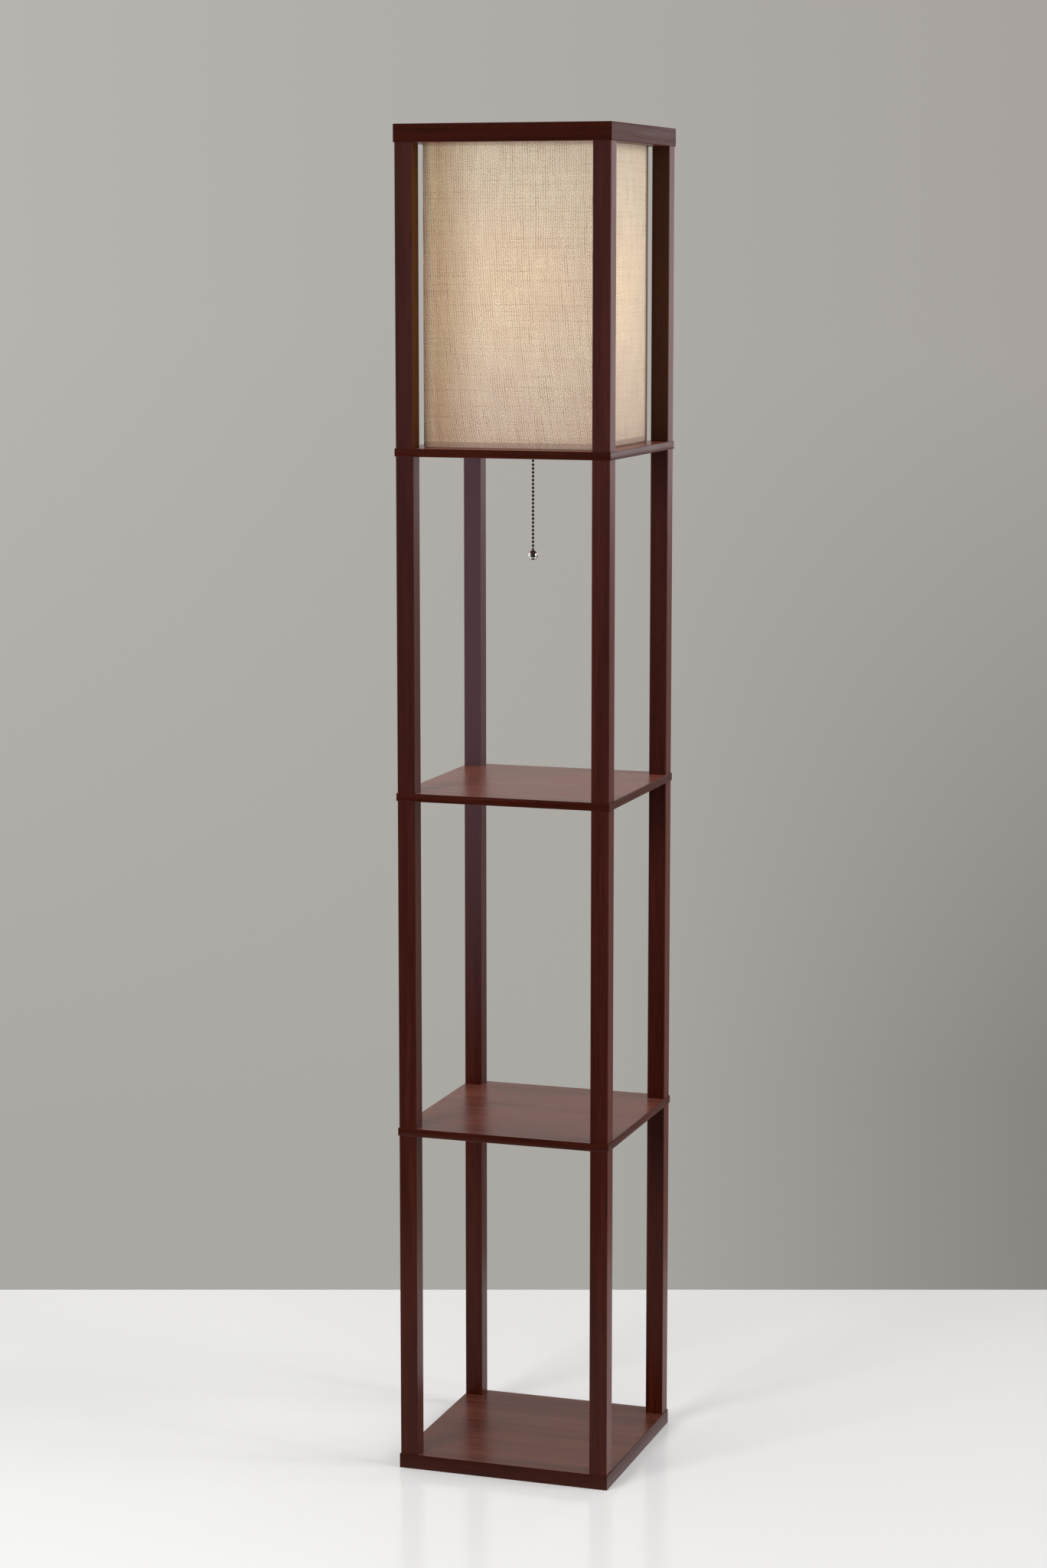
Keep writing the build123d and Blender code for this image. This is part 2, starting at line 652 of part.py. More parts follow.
# each outline runs away from the middle of the round: a radius and a height from that middle
upper_outline = []
for band in range(bulb_bands_above + 1):
    angle = math.acos(bulb_crown_radius / bulb_radius) * band / bulb_bands_above
    upper_outline.append((bulb_radius * math.cos(angle), bulb_radius * math.sin(angle)))
lower_outline = []
for band in range(bulb_bands_below + 1):
    angle = tangent_angle * band / bulb_bands_below
    lower_outline.append((bulb_radius * math.cos(angle), bulb_radius * math.sin(angle)))
half_way_radius = neck_radius + neck_arc_radius * (1 - math.cos(half_neck))
lower_outline.append((half_way_radius, neck_rise - neck_arc_radius * math.sin(half_neck)))
lower_outline.append((neck_radius, neck_rise))
with BuildPart() as bulb_glass:
    middle_level = bulb_tip_level + globe_level
    for outline in (lower_outline, upper_outline):
        # what lies below the middle is drawn above it first and turned over
        for (wide_radius, start), (narrow_radius, end) in zip(outline, outline[1:]):
            with BuildSketch(Plane.XY.offset(middle_level + start)):
                RegularPolygon(wide_radius, turned_sides)
            extrude(amount=end - start, taper=taper_between(wide_radius, narrow_radius, end - start))
        if outline is lower_outline:
            mirror(about=Plane.XY.offset(middle_level), mode=Mode.REPLACE)
    with BuildSketch(Plane.XY.offset(bulb_tip_level + bulb_seat)):
        RegularPolygon(neck_radius, turned_sides)
    extrude(amount=bulb_neck_height - bulb_seat)
bulb_glass.part.label = "bulb_glass"
export_step(bulb_glass.part, "parts/bulb_glass.step")

# ------------------------------------------------------------------ pull switch

stem_bottom = lamp_board_bottom - knurled_nut_thickness - stem_below_nut
switch_inner_radius = switch_radius - switch_wall
spring_bottom = lamp_board_top + switch_floor + stem_flange_thickness
plunger_bottom = spring_bottom + spring_length
plunger_top = plunger_bottom + plunger_thickness
rotor_bottom = plunger_top + running_gap
cover_bottom = lamp_board_top + switch_height


def on_switch(level):
    """The level plane of the pull switch's pieces, centred on its axis."""
    return Plane(origin=(switch_x, switch_y, level))


with BuildPart() as switch_housing:
    with BuildSketch(on_switch(lamp_board_top)):
        RegularPolygon(switch_radius, turned_sides)
    extrude(amount=switch_height)
    with BuildSketch(on_switch(lamp_board_top + switch_floor)):
        RegularPolygon(switch_inner_radius, turned_sides)
    extrude(amount=switch_height - switch_floor, mode=Mode.SUBTRACT)
    with BuildSketch(on_switch(lamp_board_top)):
        RegularPolygon(stem_radius + fit_gap, turned_sides, major_radius=False)
    extrude(amount=switch_floor, mode=Mode.SUBTRACT)
    # the window for the leads, facing the lamp holder; they rest on its lower edge
    with BuildSketch(Plane.XZ.offset(-switch_y)):
        with Locations((switch_x, lead_level + hole_gap)):
            Rectangle(window_width, window_height)
    extrude(amount=-switch_radius, mode=Mode.SUBTRACT)
switch_housing.part.label = "switch_housing"
export_step(switch_housing.part, "parts/switch_housing.step")

with BuildPart() as switch_cover:
    with BuildSketch(on_switch(cover_bottom)):
        RegularPolygon(switch_radius, turned_sides)
    extrude(amount=switch_cover_thickness)
    with BuildSketch(on_switch(cover_bottom)):
        RegularPolygon(pivot_pin_radius, turned_sides)
    extrude(amount=-pivot_pin_length)
switch_cover.part.label = "switch_cover"
export_step(switch_cover.part, "parts/switch_cover.step")

stem_flange_bottom = lamp_board_top + switch_floor
with BuildPart() as switch_stem:
    with BuildSketch(on_switch(stem_bottom)):
        RegularPolygon(stem_radius, turned_sides)
    extrude(amount=stem_flange_bottom - stem_bottom)
    with BuildSketch(on_switch(stem_flange_bottom)):
        RegularPolygon(stem_flange_radius, turned_sides)
    extrude(amount=stem_flange_thickness)
    # the bore, with a bell mouth for the chain
    with BuildSketch(on_switch(stem_bottom)):
        RegularPolygon(stem_bore_radius, turned_sides, major_radius=False)
    extrude(amount=spring_bottom - stem_bottom, mode=Mode.SUBTRACT)
    with BuildSketch(on_switch(stem_bottom)):
        RegularPolygon(bell_radius, turned_sides)
    bell_slope = taper_between(bell_radius, stem_bore_radius, bell_height)
    extrude(amount=bell_height, taper=bell_slope, mode=Mode.SUBTRACT)
switch_stem.part.label = "switch_stem"
export_step(switch_stem.part, "parts/switch_stem.step")

with BuildPart() as switch_nut:
    with BuildSketch(on_switch(lamp_board_bottom)):
        RegularPolygon(knurled_nut_radius, knurled_nut_sides)
        RegularPolygon(stem_radius + fit_gap, turned_sides, major_radius=False, mode=Mode.SUBTRACT)
    extrude(amount=-knurled_nut_thickness)
switch_nut.part.label = "switch_nut"
export_step(switch_nut.part, "parts/switch_nut.step")

with BuildPart() as return_spring:
    with BuildSketch(on_switch(spring_bottom)):
        RegularPolygon(spring_radius + spring_wire / 2, turned_sides // 2)
        RegularPolygon(spring_radius - spring_wire / 2, turned_sides // 2, mode=Mode.SUBTRACT)
    extrude(amount=spring_length)
return_spring.part.label = "return_spring"
export_step(return_spring.part, "parts/return_spring.step")

# the chain's top bead hangs in the plunger's pocket, over a neck that only the link passes
spigot_bottom = plunger_bottom - plunger_spigot_length
pocket_bottom = spigot_bottom + plunger_neck_height
with BuildPart() as switch_plunger:
    with BuildSketch(on_switch(plunger_bottom)):
        RegularPolygon(plunger_radius, turned_sides)
    extrude(amount=plunger_thickness)
    with BuildSketch(on_switch(spigot_bottom)):
        RegularPolygon(plunger_spigot_radius, turned_sides // 2)
    extrude(amount=plunger_spigot_length)
    with BuildSketch(on_switch(pocket_bottom)):
        RegularPolygon(bead_radius + fit_gap, bead_sides, major_radius=False)
    extrude(amount=plunger_top - pocket_bottom, mode=Mode.SUBTRACT)
    with BuildSketch(on_switch(spigot_bottom)):
        RegularPolygon(plunger_neck_radius, bead_sides, major_radius=False)
    extrude(amount=plunger_neck_height, mode=Mode.SUBTRACT)
switch_plunger.part.label = "switch_plunger"
export_step(switch_plunger.part, "parts/switch_plunger.step")

# the ratchet wheel: saw teeth round a disc that turns on the cover's pin
tooth_points = []
for tooth in range(rotor_teeth):
    tooth_angle = math.tau * tooth / rotor_teeth
    for reach in (rotor_radius, rotor_radius - rotor_tooth_depth):
        tooth_points.append((reach * math.cos(tooth_angle), reach * math.sin(tooth_angle)))
with BuildPart() as switch_rotor:
    with BuildSketch(on_switch(rotor_bottom)):
        with BuildLine():
            Polyline(*tooth_points, close=True)
        make_face()
        RegularPolygon(pivot_pin_radius + fit_gap, turned_sides, major_radius=False, mode=Mode.SUBTRACT)
    extrude(amount=rotor_thickness)
switch_rotor.part.label = "switch_rotor"
export_step(switch_rotor.part, "parts/switch_rotor.step")

with BuildPart() as switch_contacts:
    with BuildSketch(on_switch(cover_bottom)):
        with GridLocations(2 * blade_offset, 0, 2, 1):
            Rectangle(blade_width, blade_length)
    extrude(amount=-blade_thickness)
switch_contacts.part.label = "switch_contacts"
export_step(switch_contacts.part, "parts/switch_contacts.step")

lead_start = switch_y + math.sqrt(switch_inner_radius**2 - (lead_spacing / 2) ** 2) - lead_in_switch
lead_end = -math.sqrt(cap_inner_radius**2 - lead_places[1] ** 2) + lead_in_cap
with BuildPart() as switch_leads:
    with BuildSketch(Plane.XZ.offset(-lead_start)):
        with Locations(*((x, lead_level) for x in lead_places)):
            RegularPolygon(lead_radius, fastener_sides)
    extrude(amount=lead_start - lead_end)
switch_leads.part.label = "switch_leads"
export_step(switch_leads.part, "parts/switch_leads.step")

# ------------------------------------------------------------------ pull chain

top_bead_level = pocket_bottom + bead_height / 2
beads_above = math.ceil((top_bead_level - stem_bottom + swing_room) / bead_pitch)
pivot_level = top_bead_level - beads_above * bead_pitch
ball_level = lamp_board_bottom - pull_drop
collar_top = ball_level + ball_radius + ball_collar_height
beads_below = math.floor((pivot_level - collar_top - bead_radius) / bead_pitch)

# one bead, which the pieces of the chain repeat
with BuildPart() as bead:
    with BuildSketch(Plane.XY.offset(-bead_height / 2)):
        RegularPolygon(bead_radius, bead_sides)
    extrude(amount=bead_height)
    chamfer(bead.faces().filter_by(Axis.Z).edges(), bead_chamfer)

with BuildPart() as chain_in_switch:
    with BuildSketch(on_switch(pivot_level + bead_radius + running_gap)):
        Rectangle(2 * link_radius, 2 * link_radius)
    extrude(amount=beads_above * bead_pitch - bead_radius - running_gap)
    for place in range(1, beads_above + 1):
        with Locations((switch_x, switch_y, pivot_level + place * bead_pitch)):
            add(bead.part)
chain_in_switch.part.label = "chain_in_switch"
export_step(chain_in_switch.part, "parts/chain_in_switch.step")

with BuildPart() as chain_free_bead:
    with Locations((switch_x, switch_y, pivot_level)):
        add(bead.part)
chain_free_bead.part.label = "chain_free_bead"
export_step(chain_free_bead.part, "parts/chain_free_bead.step")

with BuildPart() as pull_chain:
    with BuildSketch(on_switch(pivot_level - bead_radius - running_gap)):
        Rectangle(2 * link_radius, 2 * link_radius)
    extrude(amount=collar_top + bead_radius + running_gap - pivot_level)
    for place in range(1, beads_below + 1):
        with Locations((switch_x, switch_y, pivot_level - place * bead_pitch)):
            add(bead.part)
pull_chain.part.label = "pull_chain"
export_step(pull_chain.part, "parts/pull_chain.step")

with BuildPart() as pull_ball:
    # the upper half in tapered bands, then the lower half as its mirror image
    for band in range(ball_bands):
        start = math.acos(ball_collar_radius / ball_radius) * band / ball_bands
        end = math.acos(ball_collar_radius / ball_radius) * (band + 1) / ball_bands
        band_height = ball_radius * (math.sin(end) - math.sin(start))
        slope = taper_between(ball_radius * math.cos(start), ball_radius * math.cos(end), band_height)
        with BuildSketch(on_switch(ball_level + ball_radius * math.sin(start))):
            RegularPolygon(ball_radius * math.cos(start), turned_sides)
        extrude(amount=band_height, taper=slope)
    mirror(about=on_switch(ball_level))
    with BuildSketch(on_switch(ball_level)):
        RegularPolygon(ball_collar_radius, turned_sides)
    extrude(amount=collar_top - ball_level)
pull_ball.part.label = "pull_ball"
export_step(pull_ball.part, "parts/pull_ball.step")
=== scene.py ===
import math

import bmesh
import bpy
from bpy.props import FloatProperty, FloatVectorProperty, IntProperty, PointerProperty
from bpy.types import Operator, Panel, PropertyGroup
from mathutils import Matrix, Vector, noise


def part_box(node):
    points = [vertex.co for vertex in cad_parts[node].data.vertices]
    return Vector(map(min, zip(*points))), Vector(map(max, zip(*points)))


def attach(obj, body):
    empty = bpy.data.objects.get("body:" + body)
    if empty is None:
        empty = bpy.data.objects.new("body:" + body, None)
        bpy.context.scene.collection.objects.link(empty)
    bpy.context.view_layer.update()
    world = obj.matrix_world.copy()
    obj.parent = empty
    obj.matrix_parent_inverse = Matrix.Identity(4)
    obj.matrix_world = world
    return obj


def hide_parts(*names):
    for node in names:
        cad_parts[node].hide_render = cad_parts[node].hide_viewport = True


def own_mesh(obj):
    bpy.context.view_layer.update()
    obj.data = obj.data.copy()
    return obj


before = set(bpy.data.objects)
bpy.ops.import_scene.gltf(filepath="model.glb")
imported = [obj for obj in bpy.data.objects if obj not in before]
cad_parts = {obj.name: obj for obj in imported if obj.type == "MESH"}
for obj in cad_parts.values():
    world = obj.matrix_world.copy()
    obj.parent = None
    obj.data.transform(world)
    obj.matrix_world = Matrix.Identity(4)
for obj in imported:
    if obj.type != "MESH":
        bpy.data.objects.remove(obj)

bl_info = {
    "name": "Shelf Floor Lamp",
    "version": (1, 0, 0),
    "blender": (4, 5, 0),
    "location": "3D View > Sidebar > Shelf Lamp",
    "description": "Dresses the shelf floor lamp: wood, linen shade, bulb, holder and pull chain",
    "category": "Add Mesh",
}

CORNERS = ("front_left", "front_right", "back_right", "back_left")
STAGES = ("bottom", "middle", "upper", "shade")

CAMERA_YAW = math.radians(18.335)
RIGHTWARD = (math.cos(CAMERA_YAW), math.sin(CAMERA_YAW), 0)
AHEAD = (-math.sin(CAMERA_YAW), math.cos(CAMERA_YAW), 0)
LAMP_BOARD_TOP = 1.2205
POST_INSIDE = 0.1079  # just past the posts' inner faces
SHADE_HEIGHT = 0.35
HEM_BLUR = 0.0006  # how softly the hems' marks end
WIRE_RADIUS = 0.0012  # of the wires that hold the shade open
WIRE_BEND = 0.004  # rounding of their corners
THREAD_STEPS = 8  # points along one turn of a screw thread


# ---------------- sizes and colours


def colour(name, description, default):
    return FloatVectorProperty(
        name=name, description=description, subtype="COLOR", size=3, min=0, max=1, default=default)


def length(name, description, default):
    return FloatProperty(
        name=name, description=description, unit="LENGTH", subtype="DISTANCE", min=0, default=default)


def amount(name, description, default):
    return FloatProperty(name=name, description=description, min=0, max=1, default=default)


def power(name, description, default):
    return FloatProperty(name=name, description=description, unit="POWER", min=0, default=default)


class StainedWood(PropertyGroup):
    streak: colour("Dark streak", "Colour of the grain's dark streaks", (0.019, 0.0025, 0.0010))
    body: colour("Stain", "Main colour of the stained wood", (0.035, 0.0047, 0.0018))
    figure: colour("Light figure", "Colour where the stain is thin", (0.058, 0.0100, 0.0050))
    # painted sheen: a purple-grey cast painted on the posts high up and at the back, where the lacquer catches
    # light
    painted_sheen: colour("Painted sheen", "Cooler tone of the posts high up and at the back", (0.080, 0.046, 0.056))
    # painted glow: the lit shade's orange light painted on the posts' faces beside it
    painted_glow: colour("Warm side", "Colour of the posts' faces that the shade warms", (0.100, 0.032, 0.0030))
    board_streak: colour("Board's streak", "Colour of the dark streaks in the veneer", (0.044, 0.0080, 0.0044))
    board: colour("Board", "Main colour of the boards' veneer", (0.104, 0.030, 0.0200))
    board_light: colour("Board's light figure", "Colour of the veneer's light places", (0.200, 0.068, 0.044))
    roughness: amount("Roughness", "Roughness of the satin lacquer", 0.30)
    edge_round: length("Edge rounding", "Rounding of the edging's outer corners", 0.0005)


class LinenShade(PropertyGroup):
    thread_pitch: length("Thread pitch", "Distance between the thick upright threads", 0.0028)
    weft_pitch: length("Weft pitch", "Distance between the level threads", 0.0013)
    cloth_thickness: length("Cloth", "Thickness of the cloth", 0.00045)
    corner_radius: length("Corner", "Rounding of the shade's upright corners", 0.0022)
    hem_height: length("Hem", "Height of the turned hems", 0.0075)
    lap: length("Glued lap", "Width of the glued overlap", 0.009)
    thread: colour("Thread", "Colour of the linen threads", (0.82, 0.74, 0.58))
    gap: colour("Gap", "Colour between the threads", (0.28, 0.115, 0.055))
    slub: colour("Slub", "Colour of the pale thick places", (1.0, 0.98, 0.86))


class BeadChain(PropertyGroup):
    bead_radius: length("Bead radius", "Radius of a bead", 0.0016)
    pitch: length("Bead pitch", "Distance between beads", 0.0045)
    link_radius: length("Link radius", "Radius of the wire between beads", 0.00026)
    beads_above: IntProperty(
        name="Beads above", description="Beads from the loose one up to the plunger", default=7, min=1)
    beads_below: IntProperty(
        name="Beads below", description="Beads from the loose one down to the ball", default=22, min=1)
    ball_radius: length("Ball radius", "Radius of the ball to pull", 0.006)
    collar_height: length("Collar", "Height of the collar above the ball", 0.0024)


class LampLight(PropertyGroup):
    bulb_power: power("Bulb", "Power of the soft warm light in the bulb", 2.6)
    key: power("Key", "Power of the key light", 100)
    side: power("Side", "Power of the light on the right", 84)
    rim: power("Rim", "Power of the tall light behind", 4.6)
    ambient: amount("Ambient", "Strength of the surroundings' even light", 0.42)


def settings(group):
    return getattr(bpy.context.scene, group)


# ---------------- shader nodes


def new_material(name):
    material = bpy.data.materials.new(name)
    material.use_nodes = True
    tree = material.node_tree
    tree.nodes.clear()
    return material, tree


def node(tree, kind, inputs=None, **options):
    """A node with its options set and its inputs linked or filled in; shader nodes go by short names."""
    made = tree.nodes.new(kind if "Node" in kind else "ShaderNode" + kind)
    for name, value in options.items():
        setattr(made, name, value)
    for key, value in (inputs or {}).items():
        if isinstance(value, bpy.types.NodeSocket):
            tree.links.new(value, made.inputs[key])
        else:
            made.inputs[key].default_value = value
    return made


def port(tree, kind, inputs=None, **options):
    """The first output of a new node."""
    return node(tree, kind, inputs, **options).outputs[0]


def object_space(tree):
    return node(tree, "TexCoord").outputs["Object"]


def place(tree, scale=(1, 1, 1)):
    return port(tree, "Mapping", {"Vector": object_space(tree), "Scale": scale})


def noise_of(tree, vector, scale, detail, roughness, distortion=0.0):
    return port(tree, "TexNoise", {
        "Vector": vector, "Scale": scale, "Detail": detail, "Roughness": roughness, "Distortion": distortion})


def math_of(tree, operation, first, second=0.0, third=0.0):
    return port(tree, "Math", {0: first, 1: second, 2: third}, operation=operation)


def times(tree, first, second):
    return math_of(tree, "MULTIPLY", first, second)


def fused(tree, first, second, third):
    """first * second + third"""
    return math_of(tree, "MULTIPLY_ADD", first, second, third)


def spread(tree, value, low, high, to_low=0.0, to_high=1.0):
    return port(tree, "MapRange", {
        "Value": value, "From Min": low, "From Max": high, "To Min": to_low, "To Max": to_high})


def ramp(tree, value, *stops):
    made = node(tree, "ValToRGB", {"Fac": value})
    band = made.color_ramp
    while len(band.elements) < len(stops):
        band.elements.new(0.5)
    for element, (position, shade) in zip(band.elements, stops):
        element.position = position
        element.color = (*shade, 1)
    return made.outputs["Color"]


def mixed(tree, factor, first, second, blend="MIX"):
    made = node(tree, "Mix", {"Factor": factor}, data_type="RGBA", blend_type=blend)
    for socket, value in ((made.inputs[6], first), (made.inputs[7], second)):
        if isinstance(value, bpy.types.NodeSocket):
            tree.links.new(value, socket)
        else:
            socket.default_value = (*value, 1)
    return made.outputs[2]


def tinted(tree, factor, base, tint):
    return mixed(tree, factor, base, tint, "MULTIPLY")


def grey_of(tree, value):
    return port(tree, "CombineColor", {0: value, 1: value, 2: value})


def mottled(tree, scale, detail, share, base, other):
    """A base colour with soft clouds of another, up to this share."""
    cloud = noise_of(tree, place(tree), scale, detail, 0.5)
    return mixed(tree, spread(tree, cloud, 0.3, 0.7, 0, share), base, other)


def bumped(tree, height, strength, distance):
    return port(tree, "Bump", {"Height": height, "Strength": strength, "Distance": distance})


def principled(tree, inputs):
    return port(tree, "BsdfPrincipled", inputs)


def finish_surface(tree, shader):
    node(tree, "OutputMaterial", {"Surface": shader})


def finish_sheer(tree, share, surface, tone):
    """A surface that lets this share of the light through, in a tone."""
    glow = port(tree, "BsdfTranslucent", {"Color": tone})
    finish_surface(tree, port(tree, "MixShader", {0: share, 1: surface, 2: glow}))


def scaled(values, factor):
    return tuple(factor * value for value in values)


def post_masks(tree):
    """Where painted sheen lies on the posts, high up and at the back, and their faces beside the shade where
    its glow is painted, both from 0 to 1.
    """
    x, y, z = node(tree, "SeparateXYZ", {"Vector": object_space(tree)}).outputs
    # painted sheen grows up the posts and on the back left post
    high = spread(tree, z, 0.35, 1.25, 0, 0.11)
    back = times(tree, spread(tree, y, 0, 0.1, 0, 0.78), spread(tree, x, 0.1, -0.1))
    back = times(tree, back, spread(tree, z, 0.45, 0.85))
    # the faces beside the shade, where its glow is painted, less on the back posts
    inward = math_of(tree, "MINIMUM", math_of(tree, "ABSOLUTE", x), math_of(tree, "ABSOLUTE", y))
    above = math_of(tree, "GREATER_THAN", z, LAMP_BOARD_TOP)
    beside = times(tree, math_of(tree, "LESS_THAN", inward, POST_INSIDE), above)
    beside = times(tree, beside, spread(tree, y, -0.05, 0.05, 0.9, 0.3))
    return math_of(tree, "MAXIMUM", high, back), beside


def wood(name, grain, stops, roughness, coarse=1.0, sheen=0.42, polish=0.16, masks=None):
    """Stained wood: grain gives the stretch of the pattern along X, Y and Z."""
    material, tree = new_material(name)
    along = place(tree, grain)
    flow = noise_of(tree, place(tree, scaled(grain, 0.35)), 14 * coarse, 3, 0.5, 0.4)
    fibre = noise_of(tree, along, 210, 5, 0.62, 0.2)
    streak = noise_of(tree, along, 60 * coarse, 4, 0.6, 0.6)
    pores = noise_of(tree, place(tree, scaled(grain, 2.4)), 330, 2, 0.5)
    blend = fused(tree, streak, 0.44, fused(tree, fibre, 0.44, times(tree, flow, 0.34)))
    body = ramp(tree, spread(tree, blend, 0.42, 0.82), *stops)
    pore_mask = spread(tree, pores, 0.30, 0.42, 0.55, 1)
    shade = tinted(tree, 1, body, grey_of(tree, pore_mask))
    if masks:
        sheen_mask, beside = post_masks(tree)
        # painted sheen, then the shade's painted glow
        shade = mixed(tree, beside, mixed(tree, sheen_mask, shade, masks.painted_sheen), masks.painted_glow)
        # less sheen and gloss where the glow is painted
        dull = math_of(tree, "SUBTRACT", 1, times(tree, beside, 0.8))
        sheen, polish = times(tree, dull, sheen), times(tree, dull, polish)
    height = fused(tree, fibre, 0.6, times(tree, pore_mask, 0.4))
    finish_surface(tree, principled(tree, {
        "Base Color": shade, "Roughness": spread(tree, fibre, 0.3, 0.7, roughness - 0.05, roughness + 0.09),
        "Normal": bumped(tree, height, 0.15, 0.0003), "Specular IOR Level": polish,
        "Sheen Weight": sheen, "Sheen Roughness": 0.4, "Sheen Tint": (0.9, 0.28, 0.22, 1),
    }))
    return material


def metal(name, base, roughness, wear, scratch=900.0):
    """Plated or turned metal with fine marks and a slight change of tone."""
    material, tree = new_material(name)
    marks = noise_of(tree, place(tree, (1, 1, 0.25)), scratch, 3, 0.6)
    finish_surface(tree, principled(tree, {
        "Base Color": mottled(tree, 60, 3, 0.35, base, wear), "Metallic": 1,
        "Roughness": spread(tree, marks, 0.3, 0.7, max(roughness - 0.04, 0.02), roughness + 0.06),
        "Normal": bumped(tree, marks, 0.08, 0.0001),
    }))
    return material


def moulded(name, base, roughness):
    """Moulded plastic, fibre board or enamel with a fine dull texture."""
    material, tree = new_material(name)
    grain = noise_of(tree, place(tree), 500, 3, 0.6)
    finish_surface(tree, principled(tree, {
        "Base Color": mottled(tree, 40, 2, 0.25, base, scaled(base, 0.8)),
        "Roughness": spread(tree, grain, 0.3, 0.7, roughness - 0.05, roughness + 0.08),
        "Normal": bumped(tree, grain, 0.12, 0.0002),
    }))
    return material


def streaks(tree, first, second, first_scale, second_scale, detail=3.0):
    """Noise that is stretched along one way of the cloth."""
    spot = {0: times(tree, first, first_scale), 1: times(tree, second, second_scale)}
    return noise_of(tree, port(tree, "CombineXYZ", spot), 1, detail, 0.6)


def weave(tree, across, up, around, shade):
    """The cloth's relief: upright ribs that lean as they go down, fine level threads and a fine grain."""
    below = math_of(tree, "MAXIMUM", math_of(tree, "SUBTRACT", 0.28, up), 0)
    lean = times(tree, times(tree, below, below), spread(tree, across, 0.10, 0.23, 0.05, 0.33))
    drift = streaks(tree, across, up, 9, 5, 2)
    wander = fused(tree, drift, 0.011, math_of(tree, "ADD", across, lean))
    rib = math_of(tree, "SINE", times(tree, wander, math.tau / shade.thread_pitch))
    line = math_of(tree, "POWER", spread(tree, rib, 1, -1), 2.6)
    long_bold = spread(tree, streaks(tree, wander, up, 190, 22), 0.34, 0.72, 0.10, 0.75)
    rare_bold = spread(tree, streaks(tree, wander, up, 120, 14, 2), 0.62, 0.76)
    bold = math_of(tree, "MAXIMUM", long_bold, rare_bold)
    grain = spread(tree, streaks(tree, across, up, 1100, 1000, 1), 0.25, 0.75)
    sway = fused(tree, drift, 0.004, up)
    weft = spread(tree, math_of(tree, "SINE", times(tree, sway, math.tau / shade.weft_pitch)), -1, 1)
    course = streaks(tree, across, up, 6, 400)
    # the right side has fainter level threads, and a painted light makes it lighter
    on_right = math_of(tree, "LESS_THAN", across, around / 4)
    fine = times(tree, weft, spread(tree, course, 0.35, 0.65, 0.3, 1))
    level = fused(tree, spread(tree, course, 0.56, 0.72), fused(tree, on_right, -0.2, 0.34), fine)
    lines = times(tree, times(tree, line, bold), -0.58)
    ribbed = math_of(tree, "ADD", lines, fused(tree, on_right, 0.07, 1))
    return fused(tree, grain, -1.1, fused(tree, level, -0.2, ribbed))


def linen_material(around):
    """Slubby linen with dark specks, browner places at random, painted shade beside the front left corner and
    towards the foot, and marks where it is double.
    """
    shade = settings("linen_shade")
    material, tree = new_material("linen")
    uv = node(tree, "TexCoord").outputs["UV"]
    across, up, _ = node(tree, "SeparateXYZ", {"Vector": uv}).outputs
    woven = weave(tree, across, up, around, shade)
    threads = ((0, shade.gap), (0.55, shade.thread), (1, shade.slub))
    tone = ramp(tree, spread(tree, woven, -0.14, 0.72), *threads)
    specks = spread(tree, streaks(tree, across, up, 520, 330, 1), 0.29, 0.21, 0, 0.75)
    tone = mixed(tree, specks, tone, (0.16, 0.05, 0.03))
    blotch = spread(tree, noise_of(tree, uv, 9, 3, 0.5), 0.35, 0.65, 0, 0.22)
    tone = mixed(tree, blotch, tone, (0.76, 0.58, 0.46))
    # painted shadow of the front left post, darker and warmer beside the front left corner
    corner = around / 2
    post_shadow = times(tree, spread(tree, across, corner - 0.075, corner - 0.026),
                  spread(tree, across, corner - 0.002, corner - 0.024, 0.4, 1))
    post_shadow = times(tree, post_shadow, math_of(tree, "LESS_THAN", across, corner - 0.0025))
    tone = tinted(tree, post_shadow, tone, (0.72, 0.62, 0.50))
    # and painted shade, darker and pinker towards its foot
    tone = tinted(tree, spread(tree, up, 0.13, 0), tone, (0.93, 0.85, 0.86))
    # the double cloth of the hems and of the lap lets less light through
    hem_edge = SHADE_HEIGHT - shade.hem_height
    upper_hem = spread(tree, up, hem_edge, hem_edge + HEM_BLUR, 0, 0.2)
    lower_hem = spread(tree, up, shade.hem_height, shade.hem_height - HEM_BLUR)
    hem = math_of(tree, "MAXIMUM", lower_hem, upper_hem)
    tone = mixed(tree, times(tree, hem, 0.42), tone, (0.30, 0.17, 0.14))
    lap = spread(tree, across, around - 0.006, around - 0.002, 0, 0.35)
    tone = mixed(tree, lap, tone, (0.62, 0.36, 0.27))
    # the dark strip by the rear right corner is partly the lap's double cloth and partly painted shade where
    # the corner turns from the light
    seam_and_shade = times(tree, spread(tree, across, around - 0.0155, around - 0.013),
                 spread(tree, across, around - 0.001, around - 0.0025))
    tone = mixed(tree, times(tree, seam_and_shade, 0.85), tone, (0.12, 0.045, 0.032))
    surface = principled(tree, {
        "Base Color": tone, "Roughness": 0.88, "Specular IOR Level": 0.25, "Sheen Weight": 0.1,
        "Sheen Roughness": 0.5, "Normal": bumped(tree, woven, 0.35, 0.0004),
    })
    finish_sheer(tree, 0.3, surface, tinted(tree, 1, tone, (1, 0.92, 0.80)))
    return material


def lining_material():
    """The stiff white film that the linen is glued to."""
    material, tree = new_material("shade_film")
    tone = mottled(tree, 22, 3, 0.5, (0.84, 0.81, 0.75), (0.78, 0.74, 0.66))
    fine = noise_of(tree, place(tree), 900, 2, 0.5)
    surface = principled(tree, {
        "Base Color": tone, "Roughness": 0.55, "Normal": bumped(tree, fine, 0.08, 0.0002)})
    finish_sheer(tree, 0.5, surface, tone)
    return material


